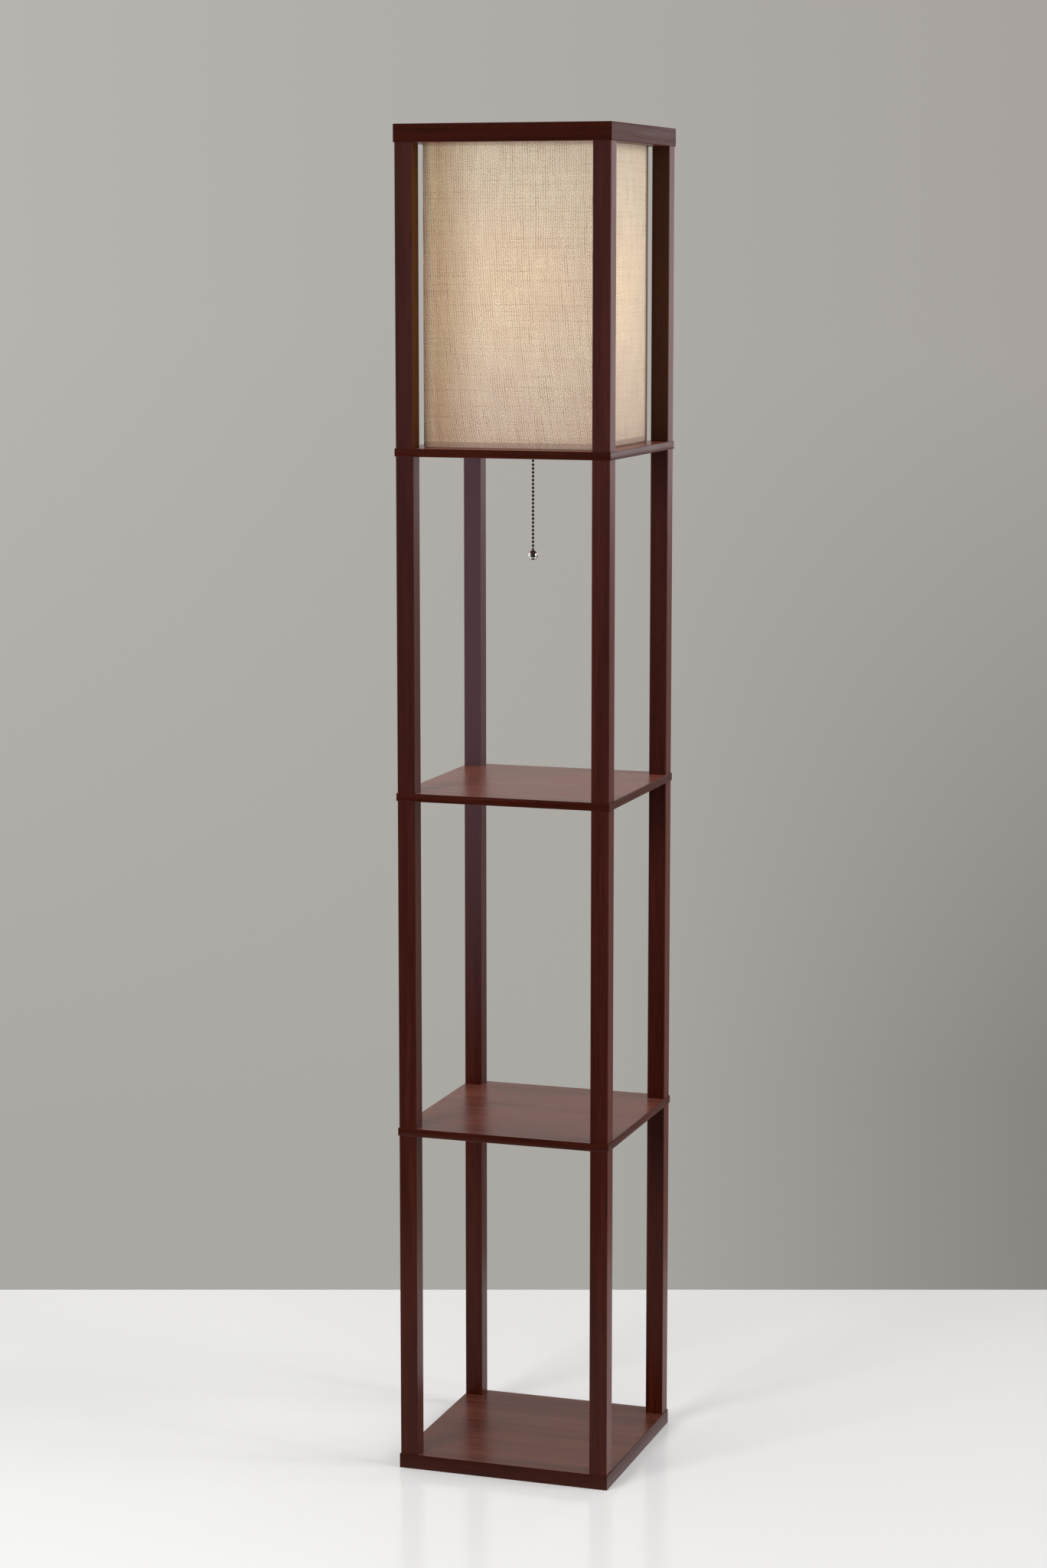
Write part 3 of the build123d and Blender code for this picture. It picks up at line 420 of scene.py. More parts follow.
def bulb_material():
    """Frosted white glass with a faint mottle."""
    material, tree = new_material("frosted_glass")
    tone = mottled(tree, 35, 3, 0.4, (0.86, 0.85, 0.82), (0.80, 0.79, 0.75))
    frost = noise_of(tree, place(tree), 1400, 2, 0.5)
    surface = principled(tree, {
        "Base Color": tone, "Roughness": spread(tree, frost, 0.3, 0.7, 0.22, 0.36),
        "Normal": bumped(tree, frost, 0.05, 0.0001)})
    finish_sheer(tree, 0.45, surface, tone)
    return material


# ---------------- mesh helpers


def as_object(name, mesh, material, body, slot, *replaced):
    piece = bpy.data.objects.new(name, mesh)
    bpy.context.scene.collection.objects.link(piece)
    if not mesh.materials:
        mesh.materials.append(material)
    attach(piece, body)
    if replaced:
        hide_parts(*replaced)
    return piece


def mesh_from(name, shape, sharp=35.0):
    bmesh.ops.remove_doubles(shape, verts=shape.verts, dist=1e-7)
    bmesh.ops.recalc_face_normals(shape, faces=shape.faces)
    mesh = bpy.data.meshes.new(name)
    shape.to_mesh(mesh)
    shape.free()
    mesh.shade_smooth()
    mesh.set_sharp_from_angle(angle=math.radians(sharp))
    return mesh


def skin(shape, rings):
    """Faces from ring to ring of points, and from the last to the first; a ring may be one point."""
    for low, high in zip(rings, rings[1:] + rings[:1]):
        sides = max(len(low), len(high))
        for step in range(sides if sides > 1 else 0):
            around = ((low, step), (low, step + 1), (high, step + 1), (high, step))
            shape.faces.new(tuple(dict.fromkeys(ring[number % len(ring)] for ring, number in around)))


def turned(shape, outline, centre, sides):
    """Turn a closed outline of (radius, height) points round an upright axis, into a bmesh."""
    rings = []
    for radius, height in outline:
        # a point on the axis is a ring of one
        angles = [math.tau * step / sides for step in range(sides)] if radius > 1e-9 else [0.0]
        rings.append([
            shape.verts.new((centre[0] + radius * math.cos(a), centre[1] + radius * math.sin(a), height))
            for a in angles])
    skin(shape, rings)


def lathe(name, outline, sides, material, body, slot, *replaced, centre=(0, 0), sharp=35.0):
    """A turned piece of its own."""
    shape = bmesh.new()
    turned(shape, outline, centre, sides)
    return as_object(name, mesh_from(name, shape, sharp), material, body, slot, *replaced)


def arc(centre, radius, start, end, steps):
    """Points along an arc, angles in degrees from straight out."""
    points = []
    for step in range(steps + 1):
        angle = math.radians(start + (end - start) * step / steps)
        points.append((centre[0] + radius * math.cos(angle), centre[1] + radius * math.sin(angle)))
    return points


def thread_wave(step):
    """From 0 at a screw thread's root to 1 at its crest."""
    return 0.5 - 0.5 * math.cos(math.tau * step / THREAD_STEPS)


def middle(node_name):
    low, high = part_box(node_name)
    return (low + high) / 2


def dress(names, material):
    """Give CAD pieces their finish."""
    for name in names:
        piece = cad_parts[name]
        piece.data.materials.clear()
        piece.data.materials.append(material)


# ---------------- geometry nodes


def new_tree(name, *sockets):
    """A geometry node tree with a mesh output and named inputs, each (name, kind, default)."""
    tree = bpy.data.node_groups.new(name, "GeometryNodeTree")
    tree.interface.new_socket("Geometry", in_out="OUTPUT", socket_type="NodeSocketGeometry")
    for label, kind, default in sockets + (("Material", "Material", None),):
        made = tree.interface.new_socket(label, in_out="INPUT", socket_type="NodeSocket" + kind)
        if default is not None:
            made.default_value = default
    return tree, tree.nodes.new("NodeGroupInput").outputs


def plain_mesh(name, tree, values):
    """Run a node tree with these input values, and keep the result as a plain mesh."""
    holder = bpy.data.objects.new(name + "_maker", bpy.data.meshes.new(name + "_maker"))
    bpy.context.scene.collection.objects.link(holder)
    modifier = holder.modifiers.new("maker", "NODES")
    modifier.node_group = tree
    for item in tree.interface.items_tree:
        if item.in_out == "INPUT" and item.name in values:
            modifier[item.identifier] = values[item.name]
    evaluated = holder.evaluated_get(bpy.context.evaluated_depsgraph_get())
    mesh = bpy.data.meshes.new_from_object(evaluated)
    bpy.data.objects.remove(holder)
    mesh.name = name
    return mesh


def moved_by(tree, geometry, translation):
    return port(tree, "GeometryNodeTransform", {"Geometry": geometry, "Translation": translation})


def close_tree(tree, geometry, material):
    """Make the instances real and give them their material."""
    realized = port(tree, "GeometryNodeRealizeInstances", {"Geometry": geometry})
    finished = port(tree, "GeometryNodeSetMaterial", {"Geometry": realized, "Material": material})
    node(tree, "NodeGroupOutput", {0: finished})
    return tree


def bead_run_tree():
    """Round beads on a wire that runs straight up through them, with a stub of wire past each end."""
    tree, given = new_tree(
        "bead_run", ("Count", "Int", 2), ("Pitch", "Float", 0.0045), ("Start", "Vector", (0, 0, 0)),
        ("Bead Radius", "Float", 0.0016), ("Link Radius", "Float", 0.0004),
        ("Wire Below", "Float", 0.001), ("Wire Above", "Float", 0.001))
    step = port(tree, "CombineXYZ", {2: given["Pitch"]})
    line = port(tree, "GeometryNodeMeshLine", {
        "Count": given["Count"], "Start Location": given["Start"], "Offset": step})
    bead = port(tree, "GeometryNodeMeshUVSphere", {
        "Segments": 20, "Rings": 12, "Radius": given["Bead Radius"]})
    smooth = port(tree, "GeometryNodeSetShadeSmooth", {"Geometry": bead, "Shade Smooth": True})
    beads = port(tree, "GeometryNodeInstanceOnPoints", {"Points": line, "Instance": smooth})
    span = times(tree, math_of(tree, "SUBTRACT", given["Count"], 1.0), given["Pitch"])
    stubs = math_of(tree, "ADD", given["Wire Below"], given["Wire Above"])
    depth = math_of(tree, "ADD", span, stubs)
    wire = port(tree, "GeometryNodeMeshCylinder", {
        "Vertices": 10, "Radius": given["Link Radius"], "Depth": depth})
    lift = math_of(tree, "SUBTRACT", times(tree, depth, 0.5), given["Wire Below"])
    upward = port(tree, "CombineXYZ", {2: lift})
    shift = port(tree, "VectorMath", {0: given["Start"], 1: upward}, operation="ADD")
    joined = node(tree, "GeometryNodeJoinGeometry")
    for geometry in (beads, moved_by(tree, wire, shift)):
        tree.links.new(geometry, joined.inputs[0])
    return close_tree(tree, joined.outputs[0], given["Material"])


def ridge_ring_tree():
    """Upright ridges set round a ring, as on a knurled nut."""
    tree, given = new_tree(
        "ridge_ring", ("Count", "Int", 30), ("Radius", "Float", 0.007), ("Ridge", "Float", 0.0006),
        ("Height", "Float", 0.003), ("Centre", "Vector", (0, 0, 0)))
    ring = port(tree, "GeometryNodeMeshCircle", {"Vertices": given["Count"], "Radius": given["Radius"]})
    ridge = port(tree, "GeometryNodeMeshCylinder", {
        "Vertices": 8, "Radius": given["Ridge"], "Depth": given["Height"]})
    ridges = port(tree, "GeometryNodeInstanceOnPoints", {"Points": ring, "Instance": ridge})
    return close_tree(tree, moved_by(tree, ridges, given["Centre"]), given["Material"])


def coil_tree():
    """A round wire wound into an open coil spring."""
    tree, given = new_tree(
        "coil", ("Turns", "Float", 6.0), ("Radius", "Float", 0.0046), ("Wire", "Float", 0.0004),
        ("Height", "Float", 0.0112), ("Start", "Vector", (0, 0, 0)))
    helix = port(tree, "GeometryNodeCurveSpiral", {
        "Resolution": 28, "Rotations": given["Turns"], "Start Radius": given["Radius"],
        "End Radius": given["Radius"], "Height": given["Height"]})
    wire = port(tree, "GeometryNodeCurvePrimitiveCircle", {"Resolution": 10, "Radius": given["Wire"]})
    tube = port(tree, "GeometryNodeCurveToMesh", {"Curve": helix, "Profile Curve": wire, "Fill Caps": True})
    return close_tree(tree, moved_by(tree, tube, given["Start"]), given["Material"])


# ---------------- operators


class LAMP_OT_stage(Operator):
    """Set the camera, the glossy white floor, the grey backdrop and the studio lights"""
    bl_idname = "shelf_lamp.stage"
    bl_label = "Camera, Floor and Lights"

    def execute(self, context):
        scene = context.scene
        light = settings("lamp_light")
        lens = bpy.data.cameras.new("camera")
        lens.lens, lens.sensor_width = 81.33, 36.0
        camera = bpy.data.objects.new("camera", lens)
        camera.location = (1.2966, -3.9627, 1.4436)
        camera.rotation_euler = (math.radians(81.463), 0, CAMERA_YAW)
        scene.collection.objects.link(camera)
        scene.camera = camera
        self.floor(scene)
        self.backdrop(scene, light.ambient)
        # name, place, target, size, power, tint
        for lamp in (
            ("key", (-1.4, -3.5, 1.62), (0, 0, 0.95), (1.6, 1.4), light.key, (1.0, 0.985, 0.965)),
            ("side", (3.5, 0.0, 1.8), (0, 0, 1.0), (1.6, 2.4), light.side, (1.0, 0.985, 0.97)),
            ("rim", (1.02, 2.5, 1.5), (0.1, 0, 1.5), (0.9, 1.1), light.rim, (1.0, 0.90, 0.95)),
        ):
            self.lamp(scene, *lamp)
        glow = bpy.data.lights.new("bulb_light", "POINT")
        glow.energy, glow.color, glow.shadow_soft_size = light.bulb_power, (1.0, 0.78, 0.47), 0.02
        inside = bpy.data.objects.new("bulb_light", glow)
        inside.location = middle("bulb_glass") + Vector((0, 0, 0.085))
        scene.collection.objects.link(inside)
        scene.view_settings.view_transform = "Standard"
        return {"FINISHED"}

    def seen(self, tree):
        """1 for the rays of the camera, metal and glass, and 0 for the light on the lamp."""
        ray = node(tree, "LightPath").outputs
        mirrored = math_of(tree, "MAXIMUM", ray["Is Glossy Ray"], ray["Is Transmission Ray"])
        return math_of(tree, "MAXIMUM", ray["Is Camera Ray"], mirrored)

    def dot(self, tree, direction, axis):
        return node(tree, "VectorMath", {0: direction, 1: axis}, operation="DOT_PRODUCT").outputs["Value"]

    def lamp(self, scene, name, place_at, target, size, energy, tint):
        data = bpy.data.lights.new(name, "AREA")
        data.shape, data.size, data.size_y = "RECTANGLE", size[0], size[1]
        data.energy, data.color = energy, tint
        made = bpy.data.objects.new(name, data)
        made.location = place_at
        made.rotation_euler = (Vector(target) - Vector(place_at)).to_track_quat("-Z", "Y").to_euler()
        made.visible_glossy = name != "key"
        scene.collection.objects.link(made)

    def floor(self, scene):
        """A slab whose back edge is the line between floor and backdrop."""
        turn = Matrix.Rotation(CAMERA_YAW, 4, "Z")
        shape = bmesh.new()
        corners = [turn @ Vector(c) for c in ((-4, -0.8, 0), (4, -0.8, 0), (4, 0.654, 0), (-4, 0.654, 0))]
        top = shape.faces.new([shape.verts.new(c) for c in corners])
        for part in bmesh.ops.extrude_face_region(shape, geom=[top])["geom"]:
            if isinstance(part, bmesh.types.BMVert):
                part.co.z -= 0.03
        slab = bpy.data.objects.new("floor", mesh_from("floor", shape))
        material, tree = new_material("floor")
        cloud = noise_of(tree, place(tree), 1.2, 2.0, 0.5)
        tone = mixed(tree, cloud, (0.84, 0.845, 0.85), (0.86, 0.862, 0.865))
        gloss = principled(tree, {"Base Color": tone, "Roughness": 0.14, "Specular IOR Level": 0.3})
        # the camera, metal and glass see the floor as a white card, whiter on the left
        right = self.dot(tree, object_space(tree), RIGHTWARD)
        strength = times(tree, self.seen(tree), spread(tree, right, -0.4, 0.7, 0.18, 0.08))
        lift = port(tree, "Emission", {"Color": (0.98, 0.99, 1.0, 1.0), "Strength": strength})
        finish_surface(tree, port(tree, "AddShader", {0: gloss, 1: lift}))
        slab.data.materials.append(material)
        scene.collection.objects.link(slab)

    def backdrop(self, scene, ambient):
        """Even light for the lamp, and a grey card behind it for the camera, metal and glass."""
        world = bpy.data.worlds.new("backdrop")
        scene.world = world
        world.use_nodes = True
        tree = world.node_tree
        tree.nodes.clear()
        direction = node(tree, "TexCoord").outputs["Generated"]
        side = self.dot(tree, direction, RIGHTWARD)
        ahead = self.dot(tree, direction, AHEAD)
        height = node(tree, "SeparateXYZ", {"Vector": direction}).outputs[2]
        # a little darker on the right, and darker below
        card = mixed(tree, spread(tree, side, -0.15, 0.15), (0.475, 0.458, 0.432), (0.385, 0.362, 0.342))
        card = mixed(tree, spread(tree, height, -0.02, -0.25), card, (0.40, 0.39, 0.365))
        low = times(tree, spread(tree, side, 0.02, 0.15), spread(tree, height, -0.03, -0.23))
        card = mixed(tree, low, card, (0.245, 0.23, 0.215))
        # metal and lacquer find the card behind the lamp, and a dark studio on the camera's side
        front = spread(tree, ahead, -0.15, 0.45, 0.10, 1.35)
        behind = times(tree, front, spread(tree, side, 0.25, 0.7, 1.0, 0.45))
        on_left = times(tree, spread(tree, side, -0.72, -0.85, 0.0, 2.2), spread(tree, ahead, -0.6, -0.5))
        found = math_of(tree, "ADD", behind, on_left)
        glossy = node(tree, "LightPath").outputs["Is Glossy Ray"]
        lost = times(tree, glossy, math_of(tree, "SUBTRACT", 1.0, found))
        shaded = tinted(tree, 1.0, card, grey_of(tree, math_of(tree, "SUBTRACT", 1.0, lost)))
        even = (ambient, ambient, ambient * 0.99)
        back = port(tree, "Background", {
            "Color": mixed(tree, self.seen(tree), even, shaded), "Strength": 1.0})
        node(tree, "OutputWorld", {"Surface": back})


def stain(finish):
    return (0.0, finish.streak), (0.5, finish.body), (1.0, finish.figure)


class LAMP_OT_wood(Operator):
    """Finish the posts, boards and top rails in dark stained wood"""
    bl_idname = "shelf_lamp.wood"
    bl_label = "Posts, Boards and Rails"

    def execute(self, context):
        finish = settings("stained_wood")
        stops, rough = stain(finish), finish.roughness
        upright = wood("stained_wood_upright", (1, 1, 0.035), stops, rough, masks=finish)
        sideways = wood("stained_wood_sideways", (0.035, 1, 1), stops, rough, 1.0, 0.3, 0.1)
        lengthways = wood("stained_wood_lengthways", (1, 0.035, 1), stops, rough, 1.0, 0.1, 0.035)
        veneer = ((0.0, finish.board_streak), (0.45, finish.board), (1.0, finish.board_light))
        boards = wood("stained_board", (0.025, 1, 1), veneer, rough - 0.04, 0.6, 0.12, 0.18)
        # painted shade: the base board gets the boards' veneer darkened to 0.8
        dull = [(spot, scaled(shade, 0.8)) for spot, shade in veneer]
        base = wood("stained_base", (0.025, 1, 1), dull, rough - 0.04, 0.6, 0.12, 0.15)
        dress([f"{stage}_post_{corner}" for stage in STAGES for corner in CORNERS], upright)
        dress(["top_rail_front", "top_rail_back"], sideways)
        dress(["top_rail_left", "top_rail_right"], lengthways)
        dress(["lower_shelf", "middle_shelf", "lamp_board"], boards)
        dress(["base_board"], base)
        return {"FINISHED"}


class LAMP_OT_edging(Operator):
    """Wrap the boards in wood edging with softly rounded corners"""
    bl_idname = "shelf_lamp.edging"
    bl_label = "Board Edging"

    def execute(self, context):
        finish = settings("stained_wood")
        band = wood("stained_edging", (0.04, 0.04, 1), stain(finish), finish.roughness, 1.0, 0.14)
        for name, node_name, boards in (
            ("base_edge_band", "base_edging", ("base_board",)),
            ("shelf_edge_bands", "shelf_edging", ("lower_shelf", "middle_shelf", "lamp_board")),
        ):
            shape = bmesh.new()
            for board in boards:
                self.ring(shape, board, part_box(node_name)[1].x, finish.edge_round)
            as_object(name, mesh_from(name, shape, 50.0), band, "stand", "edging", node_name)
        return {"FINISHED"}

    def ring(self, shape, board, reach, rounding):
        low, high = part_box(board)
        soft = rounding * 0.3
        section = [
            (high.x, low.z), (reach - rounding, low.z), (reach - soft, low.z + soft),
            (reach, low.z + rounding), (reach, high.z - rounding), (reach - soft, high.z - soft),
            (reach - rounding, high.z), (high.x, high.z),
        ]
        skin(shape, [
            [shape.verts.new((sx * r, sy * r, z)) for sx, sy in ((-1, -1), (1, -1), (1, 1), (-1, 1))]
            for r, z in section])


class LAMP_OT_fastenings(Operator):
    """Finish the screws, studs, inserts and dowels"""
    bl_idname = "shelf_lamp.fastenings"
    bl_label = "Screws, Studs and Dowels"

    def execute(self, context):
        zinc = metal("zinc", (0.62, 0.62, 0.60), 0.34, (0.50, 0.50, 0.47))
        pale = ((0.0, (0.36, 0.22, 0.12)), (0.5, (0.55, 0.37, 0.22)), (1.0, (0.66, 0.47, 0.30)))
        dress(["post_inserts", "shelf_studs", "base_screws"], zinc)
        dress(["corner_dowels"], wood("plain_beech", (1, 1, 0.05), pale, 0.6))
        return {"FINISHED"}


class LAMP_OT_shade(Operator):
    """Wrap the linen round the shade's film and wires, with turned hems and a glued lap"""
    bl_idname = "shelf_lamp.shade"
    bl_label = "Linen Shade"

    def execute(self, context):
        shade = settings("linen_shade")
        low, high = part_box("shade_fabric")
        reach, bottom = -low.y, low.z
        cloth = shade.cloth_thickness
        section = self.section(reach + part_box("shade_rings")[0].x, bottom, high.z, shade.hem_height)
        path, total = self.path(reach - cloth / 2, shade.corner_radius, shade.lap)
        shape = bmesh.new()
        layer = shape.loops.layers.uv.new("UVMap")
        columns = []
        for along, x, y, nx, ny, proud, edge in path:
            column = []
            for depth, z in section:
                fray = edge * 0.0007 * noise.noise(Vector((0.3, 1.7, z * 160)))
                fray += edge * 0.0005 * noise.noise(Vector((4.1, 0.2, z * 620)))
                out = proud - depth
                column.append(shape.verts.new((x + nx * out, y + ny * out + fray, z)))
            columns.append((along, column))
        for (u0, first), (u1, second) in zip(columns, columns[1:]):
            for row, ((_, z0), (_, z1)) in enumerate(zip(section, section[1:])):
                face = shape.faces.new((first[row], first[row + 1], second[row + 1], second[row]))
                for loop, (u, z) in zip(face.loops, ((u0, z0), (u0, z1), (u1, z1), (u1, z0))):
                    loop[layer].uv = (u, z - bottom)
        mesh = mesh_from("shade_cloth", shape, 60.0)
        piece = as_object("shade_cloth", mesh, linen_material(total), "shade", "linen", "shade_fabric")
        thick = piece.modifiers.new("thickness", "SOLIDIFY")
        thick.thickness, thick.offset = cloth, 0.0
        dress(["shade_panels"], lining_material())
        self.wires()
        return {"FINISHED"}

    def section(self, inset, bottom, top, hem):
        """The cloth's middle line as (depth, height): down the outside, with a hem turned in at each end."""
        fold, rows = 0.0003, 60
        inner = inset + 2 * WIRE_RADIUS + fold
        bend = inner - 0.0006
        points = [(inner, top - hem), (inner, top - fold - 0.0004), (bend, top - fold)]
        points += [(0.0009, top - fold), (fold, top - 0.0009)]
        points += [(0.0, top - 0.002 - (top - bottom - 0.004) * row / rows) for row in range(rows + 1)]
        points += [(fold, bottom + 0.0009), (0.0009, bottom + fold)]
        points += [(bend, bottom + fold), (inner, bottom + fold + 0.0004), (inner, bottom + hem)]
        return points

    def path(self, reach, radius, lap):
        """The shade's outline: distance, point, outward direction, how proud it stands, and the free edge."""
        straight = reach - radius
        points = []
        # from the right-hand side's rear forward, then round by the front, left and rear
        sides = [((1, 0), (0, -1)), ((0, -1), (-1, 0)), ((-1, 0), (0, 1)), ((0, 1), (1, 0))]
        for out, way in sides:
            for step in range(41):
                s = -straight + 2 * straight * step / 40
                points.append((out[0] * reach + way[0] * s, out[1] * reach + way[1] * s, out[0], out[1]))
            start = math.atan2(out[1], out[0])
            cx, cy = out[0] * straight + way[0] * straight, out[1] * straight + way[1] * straight
            for step in range(1, 4):
                angle = start - math.pi / 2 * step / 4
                nx, ny = math.cos(angle), math.sin(angle)
                points.append((cx + radius * nx, cy + radius * ny, nx, ny))
        for step in range(7):
            points.append((reach, straight - lap * step / 6, 1, 0))
        path, along = [], 0.0
        for number, (x, y, nx, ny) in enumerate(points):
            if number:
                along += math.hypot(x - points[number - 1][0], y - points[number - 1][1])
            # the lap rises over the first end of the cloth
            tail = number - (len(points) - 10)
            proud = 0.00055 * min(max(tail / 3, 0), 1)
            path.append((along, x, y, nx, ny, proud, 1.0 if number == len(points) - 1 else 0.0))
        return path, along

    def wires(self):
        """Two square wires that hold the shade open, round in section."""
        low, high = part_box("shade_rings")
        corner = high.x - WIRE_RADIUS - WIRE_BEND
        rise = Vector((0, 0, 1))
        angles = [math.tau * step / 12 for step in range(12)]
        shape = bmesh.new()
        for level in (low.z + WIRE_RADIUS, high.z - WIRE_RADIUS):
            track = []
            for cx, cy, start in ((1, -1, -90), (1, 1, 0), (-1, 1, 90), (-1, -1, 180)):
                bend = arc((cx * corner, cy * corner), WIRE_BEND, start, start + 90, 6)
                track += [Vector((x, y, level)) for x, y in bend]
            rings = []
            for number, point in enumerate(track):
                way = (track[(number + 1) % len(track)] - track[number - 1]).normalized()
                outward = way.cross(rise)
                rings.append([
                    shape.verts.new(point + WIRE_RADIUS * (math.cos(a) * outward + math.sin(a) * rise))
                    for a in angles])
            skin(shape, rings)
        mesh = mesh_from("shade_wires", shape)
        enamel = moulded("white_enamel", (0.80, 0.80, 0.78), 0.35)
        as_object("shade_wires", mesh, enamel, "shade", "white_steel", "shade_rings")


class LAMP_OT_bulb(Operator):
    """Blow the frosted bulb and roll its screw cap"""
    bl_idname = "shelf_lamp.bulb"
    bl_label = "Bulb"

    def execute(self, context):
        low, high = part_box("bulb_glass")
        cap_low, cap_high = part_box("bulb_cap")
        radius = (high.x - low.x) / 2
        globe, neck, shoulder = high.z - radius, cap_high.x - 0.0007, cap_low.z + 0.030
        # the neck sweeps out from the shoulder and runs smoothly into the globe
        rise = globe - shoulder
        sweep = (neck**2 + rise**2 - radius**2) / (2 * (radius - neck))
        tangent = math.degrees(math.asin(rise / (radius + sweep)))
        outline = [(0, low.z), (neck, low.z), (neck, shoulder)]
        for step in range(1, 11):
            angle = math.radians(tangent * step / 10)
            outline.append((neck + sweep - (sweep * math.cos(angle)), shoulder + sweep * math.sin(angle)))
        outline += arc((0, globe), radius, -tangent, 90, 36)[1:-1] + [(0, high.z)]
        glass = lathe("bulb_globe", outline, 72, bulb_material(), "bulb", "bulb_glass", "bulb_glass")
        glass.visible_shadow = False
        nickel = metal("nickel", (0.72, 0.71, 0.68), 0.25, (0.60, 0.58, 0.54))
        cap = self.cap(cap_low.z, cap_high.z, cap_high.x)
        lathe("bulb_thread", cap, 48, nickel, "bulb", "bulb_cap_metal", "bulb_cap")
        return {"FINISHED"}

    def cap(self, bottom, top, reach):
        """Outline of the screw cap, from the foot contact up over the thread and down the inside."""
        turns, pitch, depth, wall = 5, 0.00363, 0.0009, 0.0006
        outline = [
            (0, bottom), (0.0035, bottom), (0.0042, bottom + 0.0008), (0.0046, bottom + 0.0022),
            (0.0098, bottom + 0.0042), (reach - 0.0012, bottom + 0.0052)]
        start = bottom + 0.0065
        for step in range(turns * THREAD_STEPS + 1):
            outline.append((
                reach - depth + depth * thread_wave(step), start + pitch * step / THREAD_STEPS * 0.72))
        outline += [(reach - wall, top - 0.0015), (reach, top - 0.0006), (reach, top)]
        return outline + [(reach - wall, top), (reach - wall, bottom + 0.006), (0, bottom + 0.006)]


class LAMP_OT_holder(Operator):
    """Make the brass lamp holder, its threaded nipple, nuts and washers"""
    bl_idname = "shelf_lamp.holder"
    bl_label = "Lamp Holder"

    def execute(self, context):
        brass = metal("polished_brass", (0.80, 0.57, 0.26), 0.24, (0.66, 0.44, 0.19))
        zinc = metal("bright_zinc", (0.66, 0.66, 0.64), 0.3, (0.52, 0.52, 0.49))
        lathe("holder_shell", self.shell(), 64, brass, "stand", "brass", "socket_shell")
        lathe("holder_thread", self.screw_shell(), 48, brass, "stand", "brass", "screw_shell")
        lathe("threaded_nipple", self.nipple(), 40, zinc, "stand", "zinc_steel", "nipple", sharp=20.0)
        dress(["socket_cap", "centre_contact", "terminal_screws"], brass)
        dress(["nipple_nuts", "nipple_washers"], zinc)
        dress(["socket_sleeve"], moulded("fibre_sleeve", (0.36, 0.24, 0.14), 0.75))
        dress(["socket_body"], moulded("holder_body", (0.055, 0.052, 0.05), 0.45))
        dress(["cord_bushing"], moulded("black_bushing", (0.03, 0.03, 0.03), 0.4))
        return {"FINISHED"}

    def shell(self):
        """Outline of the outer shell, with three rolled beads and a rolled rim."""
        low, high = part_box("socket_shell")
        rim, inner = high.x, high.x - 0.0018
        body, proud = rim - 0.00115, rim - 0.00115 + 0.00045
        outline = [(inner, low.z), (body, low.z)]
        for level in (low.z + 0.0075, low.z + 0.0098, high.z - 0.0075):
            outline += [(body, level - 0.0009), (proud, level - 0.0004)]
            outline += [(proud, level + 0.0004), (body, level + 0.0009)]
        outline += [(body, high.z - 0.0018), (rim - 0.0002, high.z - 0.0012), (rim, high.z - 0.0006)]
        return outline + [(rim - 0.0002, high.z), (inner, high.z)]

    def screw_shell(self):
        """Outline of the thin screw shell, up its thread outside and down again inside."""
        low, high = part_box("screw_shell")
        sheet, steps = 0.0004, 6 * THREAD_STEPS
        outline = [(high.x - 0.005, low.z), (high.x - 0.0003, low.z)]
        for step in range(steps + 1):
            level = low.z + 0.0025 + (high.z - low.z - 0.004) * step / steps
            outline.append((high.x - sheet * (1 - thread_wave(step)), level))
        outline.append((high.x, high.z))
        wall = [(r - sheet, z) for r, z in reversed(outline[1:])]
        wall[-1] = (wall[-1][0], low.z + sheet)
        return outline + wall + [(high.x - 0.005, low.z + sheet)]

    def nipple(self):
        """Outline of the hollow nipple, threaded from end to end."""
        low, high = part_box("nipple")
        outer, bore, pitch = high.x, high.x - 0.0015, 0.001
        outline = [(bore, low.z), (outer - 0.0005, low.z)]
        for turn in range(int((high.z - low.z - 0.0008) / pitch)):
            foot = low.z + 0.0003
            outline += [(outer - 0.0004, foot + turn * pitch), (outer, foot + (turn + 0.5) * pitch)]
        return outline + [(outer - 0.0005, high.z), (bore, high.z)]


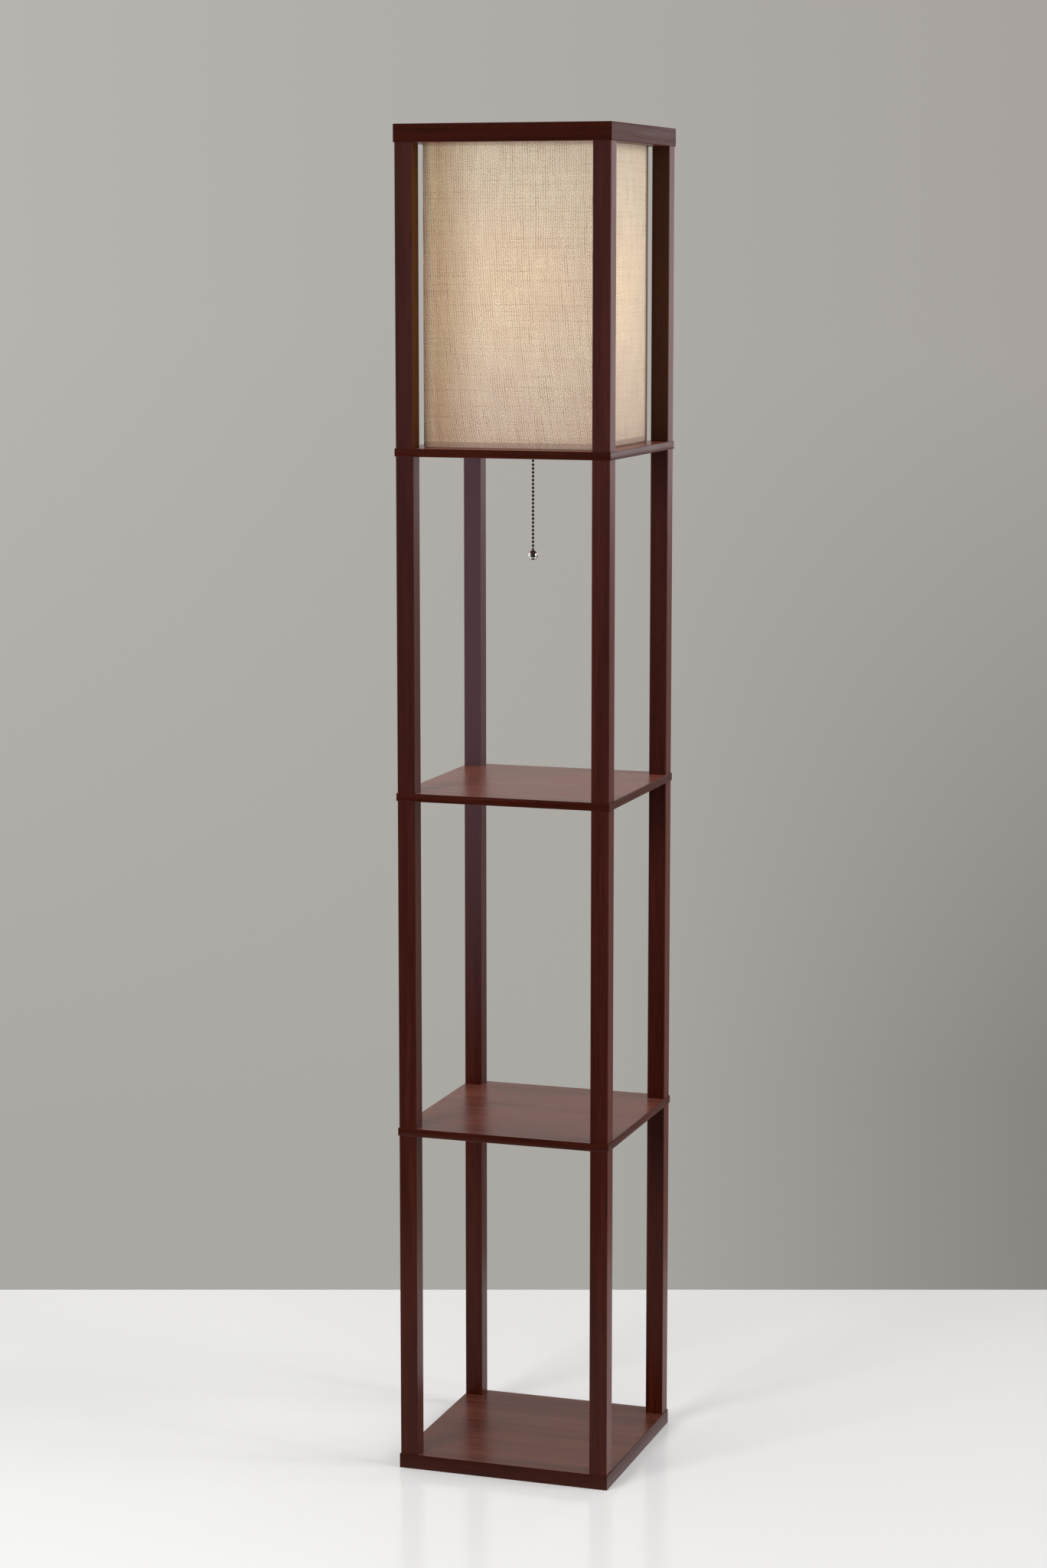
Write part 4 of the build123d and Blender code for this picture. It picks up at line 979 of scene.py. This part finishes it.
class LAMP_OT_switch(Operator):
    """Finish the pull switch, and make its knurled nut and its return spring"""
    bl_idname = "shelf_lamp.switch"
    bl_label = "Pull Switch"

    def execute(self, context):
        zinc = metal("plated_steel", (0.70, 0.70, 0.68), 0.26, (0.56, 0.56, 0.53))
        brass = metal("switch_brass", (0.78, 0.56, 0.27), 0.3, (0.64, 0.43, 0.2))
        self.nut(zinc)
        self.spring(zinc)
        dress(["switch_stem"], zinc)
        dress(["switch_contacts"], brass)
        dress(["switch_housing", "switch_cover"], moulded("switch_case", (0.04, 0.039, 0.038), 0.42))
        dress(["switch_plunger", "switch_rotor"], moulded("switch_works", (0.62, 0.60, 0.55), 0.4))
        dress(["switch_leads"], moulded("lead_insulation", (0.05, 0.05, 0.05), 0.5))
        return {"FINISHED"}

    def nut(self, zinc):
        low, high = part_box("switch_nut")
        centre = (low + high) / 2
        bore = 0.00475 + 0.00003
        core, tip = high.y - centre.y - 0.0006, 0.0004
        outline = [(bore, low.z), (core - tip, low.z), (core, low.z + tip)]
        outline += [(core, high.z - tip), (core - tip, high.z), (bore, high.z)]
        shape = bmesh.new()
        turned(shape, outline, (centre.x, centre.y), 60)
        shape.from_mesh(plain_mesh("nut_ridges", ridge_ring_tree(), {
            "Count": 36, "Radius": core, "Ridge": 0.00045, "Height": high.z - low.z - 2 * tip,
            "Centre": centre, "Material": zinc}))
        as_object("knurled_nut", mesh_from("knurled_nut", shape), zinc, "stand", "zinc_steel", "switch_nut")

    def spring(self, zinc):
        """The return spring, a coil that the plunger presses down."""
        low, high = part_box("return_spring")
        wire, height = 0.0004, high.z - low.z
        start = Vector(((low.x + high.x) / 2, (low.y + high.y) / 2, low.z + wire))
        shape = bmesh.new()
        shape.from_mesh(plain_mesh("spring_wire", coil_tree(), {
            "Turns": 6.0, "Radius": (high.y - low.y) / 2 - wire, "Wire": wire,
            "Height": height - 2 * wire, "Start": start, "Material": zinc}))
        mesh = mesh_from("spring_coil", shape, 60.0)
        coil = as_object("spring_coil", mesh, zinc, "stand", "zinc_steel", "return_spring")
        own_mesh(coil)


class LAMP_OT_chain(Operator):
    """String the bead chain, with one loose bead at its bend, and hang the ball on it"""
    bl_idname = "shelf_lamp.chain"
    bl_label = "Pull Chain and Ball"

    def execute(self, context):
        chain = settings("bead_chain")
        chrome = metal("chrome_bead", (0.045, 0.030, 0.030), 0.22, (0.030, 0.018, 0.018))
        tree = bead_run_tree()
        pivot = middle("chain_free_bead")
        lowest = -chain.beads_below
        to_ball = pivot.z + lowest * chain.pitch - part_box("pull_ball")[1].z + 0.001
        # name, CAD node, body, count of beads, first bead's place, wire below and above
        for name, node_name, body, count, first, below, above in (
            ("chain_upper", "chain_in_switch", "plunger", chain.beads_above, 1, 0.0017, 0.0002),
            ("chain_loose_bead", "chain_free_bead", "free_bead", 1, 0, 0.0002, 0.0002),
            ("chain_lower", "pull_chain", "chain", chain.beads_below, lowest, to_ball, 0.0017),
        ):
            run = plain_mesh(name, tree, {
                "Count": count, "Pitch": chain.pitch, "Start": pivot + Vector((0, 0, first * chain.pitch)),
                "Bead Radius": chain.bead_radius, "Link Radius": chain.link_radius,
                "Wire Below": below, "Wire Above": above, "Material": chrome})
            as_object(name, run, chrome, body, "chrome", node_name)
        self.ball(chain, chrome)
        return {"FINISHED"}

    def ball(self, chain, chrome):
        """The ball with its fine parting line, and the collar that it hangs by."""
        centre, top = middle("pull_ball"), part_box("pull_ball")[1].z
        radius, collar = chain.ball_radius, 0.0012
        level = top - chain.collar_height - radius
        start = math.degrees(math.acos(collar / radius))
        groove = radius - 0.00012
        outline = [(0, level - radius)] + arc((0, level), radius, -89.0, -1.5, 28)
        outline += [(groove, level - 0.0001), (groove, level + 0.0001)]
        outline += arc((0, level), radius, 1.5, start, 22) + [(0, level + radius)]
        bright = metal("polished_chrome", (0.72, 0.71, 0.70), 0.07, (0.66, 0.65, 0.63), 1200.0)
        lathe("ball_knob", outline, 56, bright, "chain", "chrome", "pull_ball", centre=centre, sharp=40.0)
        foot = level + radius * math.sin(math.radians(start)) - 0.0002
        outline = [(0, foot), (collar, foot), (collar, top - 0.0004), (collar - 0.0003, top), (0, top)]
        lathe("ball_collar", outline, 24, chrome, "chain", "chrome", centre=centre)


OPERATORS = (
    LAMP_OT_stage, LAMP_OT_wood, LAMP_OT_edging, LAMP_OT_fastenings, LAMP_OT_shade, LAMP_OT_bulb,
    LAMP_OT_holder, LAMP_OT_switch, LAMP_OT_chain,
)


class LAMP_PT_sidebar(Panel):
    """The lamp's makers, in the order in which they run"""
    bl_idname = "LAMP_PT_sidebar"
    bl_label = "Shelf Floor Lamp"
    bl_space_type = "VIEW_3D"
    bl_region_type = "UI"
    bl_category = "Shelf Lamp"

    def draw(self, context):
        for maker in OPERATORS:
            self.layout.operator(maker.bl_idname)


GROUPS = {
    "stained_wood": StainedWood, "linen_shade": LinenShade, "bead_chain": BeadChain, "lamp_light": LampLight}
CLASSES = (*GROUPS.values(), *OPERATORS, LAMP_PT_sidebar)


def register():
    for kind in CLASSES:
        bpy.utils.register_class(kind)
    for name, group in GROUPS.items():
        setattr(bpy.types.Scene, name, PointerProperty(type=group))


def unregister():
    for name in GROUPS:
        delattr(bpy.types.Scene, name)
    for kind in reversed(CLASSES):
        bpy.utils.unregister_class(kind)


def main():
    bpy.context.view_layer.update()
    register()
    bpy.ops.shelf_lamp.stage()
    bpy.ops.shelf_lamp.wood()
    bpy.ops.shelf_lamp.edging()
    bpy.ops.shelf_lamp.fastenings()
    bpy.ops.shelf_lamp.shade()
    bpy.ops.shelf_lamp.bulb()
    bpy.ops.shelf_lamp.holder()
    bpy.ops.shelf_lamp.switch()
    bpy.ops.shelf_lamp.chain()


if __name__ == "__main__":
    main()
